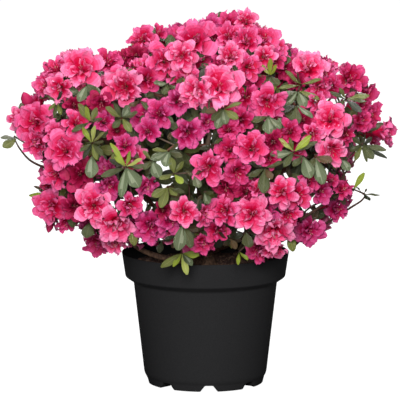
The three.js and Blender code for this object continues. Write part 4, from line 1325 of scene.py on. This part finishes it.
def make_pot():
    """The moulded pot: banded rim, plain wall, a step above the foot, and a notched foot."""
    band_foot = POT_HEIGHT - BAND_HEIGHT
    under = band_foot - BAND_CHAMFER
    inner = WALL_THICKNESS
    profile = rounded((
        (POT_CENTRE, FOOT_HEIGHT, 0),
        (FOOT_INNER_RADIUS - 1, FOOT_HEIGHT, 0.6),
        (FOOT_INNER_RADIUS, 0, 0.5),
        (FOOT_RADIUS, 0, 0.7),
        (FOOT_TOP_RADIUS, FOOT_HEIGHT, 0.8),
        (FOOT_TOP_RADIUS + STEP_OUT, WALL_FOOT_HEIGHT - STEP_DOWN, 0.7),
        (WALL_FOOT_RADIUS, WALL_FOOT_HEIGHT, 1.6),
        (WALL_TOP_RADIUS, under, 2.2),
        (BAND_FOOT_RADIUS - LIP_IN, band_foot - LIP_DOWN, 1.2),
        (BAND_FOOT_RADIUS, band_foot, 1.0),
        (RIM_RADIUS - RIM_IN, POT_HEIGHT - RIM_DOWN, 1.0),
        (RIM_RADIUS, POT_HEIGHT, 0.9),
        (RIM_RADIUS - inner, POT_HEIGHT, 0.7),
        (BAND_FOOT_RADIUS - inner, band_foot + 1, 1.5),
        (WALL_TOP_RADIUS - inner, under + 1, 2.0),
        (WALL_FOOT_RADIUS - inner, WALL_FOOT_HEIGHT, 1.5),
        (FLOOR_RADIUS, FLOOR_HEIGHT, 1.0),
        (POT_CENTRE, FLOOR_HEIGHT, 0),
    ))
    rings = [profile[0]]
    for here, after in zip(profile[:-1], profile[1:]):
        count = max(1, int(length_of(after - here) / POT_RING_SPACING))
        rings.extend(mix(here, after, (i + 1) / count) for i in range(count))
    points = cut_notches(turned(np.array(rings), POT_STEPS))
    heap = Heap()
    heap.add(points, grid_faces(len(rings), POT_STEPS, closed=True), 0)
    make_piece("nursery_pot", heap, [pot_material()], "pot", ["pot"])


def soil_lift(x, y):
    return sum(height * noise.noise(Vector((x * pace, y * pace, layer)))
               for pace, layer, height in SOIL_WAVES)


def crumb(size, draw):
    """A rough lump of compost or bark: a squeezed ball of a few rings of points."""
    tilt = np.linspace(CRUMB_POLE, math.pi - CRUMB_POLE, CRUMB_RINGS)[:, None]
    ball = round_axis(np.sin(tilt), turns_round(CRUMB_SIDES), np.cos(tilt)).reshape(-1, 3)
    rough = np.array([dealt(draw, *CRUMB_ROUGHNESS) for _ in range(len(ball))])[:, None]
    squeeze = np.array([1, dealt(draw, *CRUMB_WIDTHS), dealt(draw, *CRUMB_HEIGHTS)])
    axis = unit(np.array([draw() - 0.5, draw() - 0.5, draw() + CRUMB_RISE]))
    return (ball * rough * squeeze * size) @ frame_on(axis, CRUMB_TURN * draw())


def make_soil():
    """The compost: an uneven top that fills the pot, with lumps and chips on it."""
    draw = number_stream(SOIL_SEED)
    edge = BAND_FOOT_RADIUS + SOIL_REACH - WALL_THICKNESS
    radii = np.linspace(0.5, edge, SOIL_RINGS)
    flat = np.full(SOIL_RINGS, SOIL_HEIGHT - SOIL_EDGE_SINK)
    points = turned(np.stack([radii, flat], axis=1), SOIL_STEPS)
    for point in points:
        point[2] += soil_lift(point[0], point[1])
    heap = Heap()
    heap.add(points, grid_faces(SOIL_RINGS, SOIL_STEPS, closed=True), 0)
    faces = grid_faces(CRUMB_RINGS, CRUMB_SIDES, closed=True)
    for _ in range(CRUMBS):
        out, turn = (edge - CRUMB_EDGE_GAP) * math.sqrt(draw()), FULL_TURN * draw()
        least, more = CRUMB_SIZES
        size = least + more * draw() ** 3
        x, y = out * math.cos(turn), out * math.sin(turn)
        place = np.array([x, y, SOIL_HEIGHT - CRUMB_SINK + soil_lift(x, y)])
        heap.add(place + crumb(size, draw), faces, 0 if draw() < CRUMB_SHARE else 1)
    make_piece("compost_top", heap, soil_materials(), "soil", ["soil"])


# Materials

PETAL_COLOURS = {
    "bright": ((206, 0, 62), (246, 138, 182)),
    "rose": ((194, 0, 58), (234, 108, 162)),
    "cerise": ((174, 0, 54), (216, 74, 134)),
    "magenta": ((170, 0, 66), (212, 86, 146)),
    # Painted shade: a darker copy of the pinks, for blossoms deep in the crown or in shadow.
    "painted_shade_crimson": ((132, 0, 42), (188, 34, 92)),
}
PALING = 1.1
LEAF_COLOURS = {
    "dark": ((78, 86, 44), (102, 106, 66)),
    # Painted shade: a darker copy of the dark green, for leaves in shadow and dealt among the others.
    "deep": ((42, 50, 27), (58, 66, 38)),
    "bronze": ((94, 74, 44), (112, 90, 56)),
    "mid": ((116, 124, 56), (144, 146, 84)),
    # Painted highlight: a lighter, greyer green for the glint on glossy leaves; its second colour is
    # the painted highlight strip.
    "painted_sheen": ((98, 112, 76), (146, 156, 126)),
    "lime": ((162, 182, 58), (184, 196, 92)),
    "pale": ((186, 196, 98), (204, 210, 130)),
}
TWIG_COLOURS = {"brown": (82, 52, 40), "grey": (92, 74, 60), "red": (104, 58, 46)}
SOIL_COLOURS = {
    "compost": ((0.075, 0.036, 0.026, 1), (0.17, 0.09, 0.065, 1)),
    "bark_chips": ((0.16, 0.09, 0.06, 1), (0.32, 0.2, 0.13, 1)),
}
MOTTLE_DARKEST = 0.36
MOTTLE_LIGHTEST = 0.66
VEIN_SHARE = 0.35
VEIN_GRAIN = 900


def linear(*colour):
    """An 8-bit screen colour as the linear colour that shaders use."""
    shares = [part / 255 for part in colour]
    return (*(share / 12.92 if share < 0.04045 else ((share + 0.055) / 1.055) ** 2.4
              for share in shares), 1)


def feed(tree, node, inputs):
    """Gives a node's inputs their values, each a value or another node's output."""
    for socket, value in inputs.items():
        if isinstance(value, bpy.types.NodeSocket):
            tree.links.new(value, node.inputs[socket])
        else:
            node.inputs[socket].default_value = value


def outputs_of(tree, kind, inputs):
    """The outputs of a new node."""
    node = tree.nodes.new(kind)
    feed(tree, node, inputs)
    return node.outputs


def calculated(tree, operation, *values):
    """The output of a new node that does this sum with these values."""
    node = tree.nodes.new("ShaderNodeMath")
    node.operation = operation
    feed(tree, node, dict(enumerate(values)))
    return node.outputs[0]


def new_effect(name, inputs):
    """A new group of nodes with these inputs: a mask, a roughness and a relief come out."""
    tree = bpy.data.node_groups.new(name, "ShaderNodeTree")
    for socket, value in inputs.items():
        made = tree.interface.new_socket(socket, in_out="INPUT", socket_type="NodeSocketFloat")
        made.default_value = value
    for socket, kind in (("Mask", "Float"), ("Roughness", "Float"), ("Normal", "Vector")):
        tree.interface.new_socket(socket, in_out="OUTPUT", socket_type=f"NodeSocket{kind}")
    return tree, tree.nodes.new("NodeGroupInput").outputs


def finish_effect(tree, given, mask, unevenness):
    rough = calculated(tree, "MULTIPLY_ADD", unevenness, given["Variation"], given["Roughness"])
    bump = outputs_of(tree, "ShaderNodeBump", {
        "Height": mask, "Strength": given["Relief"], "Distance": given["Depth"]})
    out = tree.nodes.new("NodeGroupOutput")
    feed(tree, out, {"Mask": mask, "Roughness": rough, "Normal": bump["Normal"]})
    return tree


def grain_group():
    """Fine unevenness: a mask, a roughness that varies with it, and a relief."""
    tree, given = new_effect("Surface grain", {
        "Scale": 400.0, "Roughness": 0.5, "Variation": 0.1, "Relief": 0.2, "Depth": 0.0003})
    place = outputs_of(tree, "ShaderNodeTexCoord", {})["Object"]
    grain = outputs_of(tree, "ShaderNodeTexNoise", {
        "Vector": place, "Scale": given["Scale"], "Detail": 6, "Roughness": 0.6})["Fac"]
    return finish_effect(tree, given, grain, calculated(tree, "SUBTRACT", grain, 0.5))


def vein_group():
    """Veins that run up a petal or leaf and part towards its edges, as roughness and relief."""
    tree, given = new_effect("Petal and leaf veins", {
        "Veins": 9.0, "Slant": 1.0, "Roughness": 0.5, "Variation": 0.1, "Relief": 0.3,
        "Depth": 0.0004})
    layer = tree.nodes.new("ShaderNodeUVMap")
    layer.uv_map = PLACE_LAYER
    place = outputs_of(tree, "ShaderNodeSeparateXYZ", {0: layer.outputs["UV"]})
    aside = calculated(tree, "ABSOLUTE", calculated(tree, "SUBTRACT", place["X"], 0.5))
    slanted = calculated(tree, "MULTIPLY_ADD", place["Y"], given["Slant"], aside)
    counted = calculated(tree, "MULTIPLY", slanted, given["Veins"])
    wave = calculated(tree, "SINE", calculated(tree, "MULTIPLY", counted, FULL_TURN))
    fine = outputs_of(tree, "ShaderNodeTexNoise", {"Scale": VEIN_GRAIN})["Fac"]
    height = calculated(tree, "MULTIPLY_ADD", wave, VEIN_SHARE, fine)
    return finish_effect(tree, given, height, height)


GRAIN = grain_group()
VEINS = vein_group()


def new_material(name, effect, colour, light=None, specular=None, **values):
    """A material with a shared effect at its own values, mottled if it has a light colour."""
    material = bpy.data.materials.new(name)
    material.use_nodes = True
    tree = material.node_tree
    shader = tree.nodes["Principled BSDF"]
    group = tree.nodes.new("ShaderNodeGroup")
    group.node_tree = effect
    feed(tree, group, values)
    feed(tree, shader, {socket: group.outputs[socket] for socket in ("Roughness", "Normal")})
    if specular is not None:
        feed(tree, shader, {"Specular IOR Level": specular})
    if light is not None:
        ramp = tree.nodes.new("ShaderNodeValToRGB")
        places = (MOTTLE_DARKEST, MOTTLE_LIGHTEST)
        for stop, place, stop_colour in zip(ramp.color_ramp.elements, places, (colour, light)):
            stop.position = place
            stop.color = stop_colour
        feed(tree, ramp, {"Fac": group.outputs["Mask"]})
        colour = ramp.outputs["Color"]
    feed(tree, shader, {"Base Color": colour})
    return material


def petal_materials():
    materials = []
    for tint in TINTS:
        deep, pale = (np.array(colour, float) for colour in PETAL_COLOURS[tint])
        for tone in range(PETAL_TONES):
            colour = linear(*mix(deep, pale, (tone / (PETAL_TONES - 1)) ** PALING))
            materials.append(new_material(
                f"petal_{tint}_{tone}", VEINS, colour, specular=0.25,
                Veins=11.0, Slant=0.15, Roughness=0.52, Relief=0.35))
    return materials


def stamen_materials():
    return [
        new_material("filament", GRAIN, linear(224, 70, 118), Scale=900.0, Roughness=0.5),
        new_material("anther", GRAIN, linear(214, 140, 136), Scale=900.0, Roughness=0.7),
    ]


def leaf_materials():
    # Each tint's second colour is its midrib's; on the glossy leaves it is also their painted
    # highlight strip.
    return [
        new_material(f"leaf_{tint}_{zone}", VEINS, linear(*colour), specular=0.95,
                     Veins=6.0, Slant=-0.9, Roughness=0.27, Relief=0.7, Depth=0.001)
        for tint in LEAF_TINTS
        for zone, colour in zip(("blade", "midrib"), LEAF_COLOURS[tint])
    ]


def twig_materials():
    return [
        new_material(f"twig_{name}", GRAIN, linear(*colour),
                     Scale=420.0, Roughness=0.75, Relief=0.6, Depth=0.0006)
        for name, colour in TWIG_COLOURS.items()
    ]


def bark_material():
    return new_material("bark", GRAIN, linear(58, 36, 28), light=linear(128, 98, 76),
                        Scale=260.0, Roughness=0.82, Variation=0.25, Relief=0.8, Depth=0.001)


def soil_materials():
    return [
        new_material(name, GRAIN, dark, light=light,
                     Scale=300.0, Roughness=0.95, Variation=0.1, Relief=0.9, Depth=0.001)
        for name, (dark, light) in SOIL_COLOURS.items()
    ]


def pot_material():
    return new_material("satin_black_plastic", GRAIN, linear(40, 40, 41), light=linear(46, 46, 47),
                        specular=0.015, Scale=1100.0, Roughness=0.56, Variation=0.14,
                        Relief=0.12, Depth=0.0002)


# Putting the plant together

# The shares of the first four tints among the blossoms that have none of their own.
TINT_SHARES = (0.3, 0.34, 0.22, 0.14)
BELOW_WHOLE = 0.999
FOLIAGE_THIRDS = {"upper": ("top", "high"), "middle": ("side",), "lower": ("low",)}


def tint_of(sprig):
    """The tint given or dealt to a sprig's blossom."""
    if sprig.tint in TINTS:
        return TINTS.index(sprig.tint)
    return int(np.searchsorted(np.cumsum(TINT_SHARES), sprig.draw() * BELOW_WHOLE))


def make_foliage(masses):
    """Blossoms, leaves, twigs and stamens, each kind joined apart, by rings of masses."""
    kinds = {
        "blossoms": (petal_materials(), "blossom"),
        "leaves": (leaf_materials(), "leaf"),
        "twigs": (twig_materials(), "bark"),
        "stamens": (stamen_materials(), "blossom"),
    }
    for name, rings in FOLIAGE_THIRDS.items():
        heaps = {kind: Heap() for kind in kinds}
        held = [mass for mass in masses if mass.ring in rings]
        if name == "middle":
            add_loose_twigs(heaps["twigs"])
        for mass in held:
            add_twigs(heaps["twigs"], mass)
            for sprig in mass.sprigs:
                tint = tint_of(sprig)
                if sprig.kind == "blossom":
                    add_blossom(heaps["blossoms"], sprig, tint)
                    add_stamens(heaps["stamens"], sprig)
                elif sprig.kind == "bud":
                    add_bud(heaps["blossoms"], sprig, tint)
                add_leaves(heaps["leaves"], sprig)
        nodes = [f"foliage_{mass.name}" for mass in held]
        for kind, (materials, slot) in kinds.items():
            make_piece(f"{kind}_{name}", heaps[kind], materials, slot, nodes)


# The studio

WHITE = (1, 1, 1, 1)
FLOOR_SIDE = 6
FLOOR_SINK = 0.0005
FLOOR_GREY = 0.18
AMBIENT = 0.09
# Round lamps in metres and watts: name, place, width and power.
LAMPS = (
    ("front", (-0.1, -2.4, 0.9), 0.8, 58),
    ("overhead", (0, -0.3, 2.3), 1.0, 27),
    ("behind", (0.2, 1.8, 1.9), 1.0, 30),
)
LIT_MIDDLE = (0, 0, 0.25)


def aim(thing, direction):
    thing.rotation_euler = direction.to_track_quat("-Z", "Y").to_euler()


def make_floor():
    """A pale floor that the camera sees as evenly bright as a lit studio sweep."""
    mesh = bpy.data.meshes.new("floor")
    signs = ((-1, -1), (1, -1), (1, 1), (-1, 1))
    mesh.from_pydata([(x * FLOOR_SIDE, y * FLOOR_SIDE, 0) for x, y in signs], [], [(0, 1, 2, 3)])
    floor = new_object("floor", mesh)
    floor.location.z = -FLOOR_SINK
    material = bpy.data.materials.new("pale_floor")
    material.use_nodes = True
    tree = material.node_tree
    ray = outputs_of(tree, "ShaderNodeLightPath", {})
    feed(tree, tree.nodes["Principled BSDF"], {
        "Base Color": (FLOOR_GREY, FLOOR_GREY, FLOOR_GREY, 1),
        "Emission Color": WHITE,
        "Emission Strength": ray["Is Camera Ray"],
        "Roughness": 0.9,
        "Specular IOR Level": 0.1,
    })
    mesh.materials.append(material)


def light_the_scene():
    scene = bpy.context.scene
    world = bpy.data.worlds.new("studio")
    world.use_nodes = True
    tree = world.node_tree
    ray = outputs_of(tree, "ShaderNodeLightPath", {})
    seen = outputs_of(tree, "ShaderNodeMix", {
        "A": AMBIENT, "B": 1.0, "Factor": ray["Is Camera Ray"]})
    feed(tree, tree.nodes["Background"], {"Color": WHITE, "Strength": seen["Result"]})
    scene.world = world
    scene.view_settings.view_transform = "Standard"
    for name, place, width, power in LAMPS:
        light = bpy.data.lights.new(name, "AREA")
        light.shape = "DISK"
        light.size = width
        light.energy = power
        lamp = new_object(name, light)
        lamp.location = place
        aim(lamp, Vector(LIT_MIDDLE) - Vector(place))


def place_camera():
    """A long lens at the photo's angle, framed so that the pot stands where it does there."""
    camera = bpy.data.cameras.new("camera")
    camera.sensor_width = SENSOR_WIDTH
    camera.lens = SENSOR_WIDTH * PIXELS_PER_MM * CAMERA_DISTANCE / FRAME_PX
    camera.clip_end = CAMERA_REACH
    holder = new_object("camera", camera)
    holder.location = Vector((VIEW_TARGET + VIEW_BACK * CAMERA_DISTANCE) * MM)
    aim(holder, Vector(-VIEW_BACK))
    bpy.context.scene.camera = holder


place_camera()
light_the_scene()
make_floor()
crown = plan_crown()
make_pot()
make_soil()
make_limbs(crown)
make_foliage(crown)
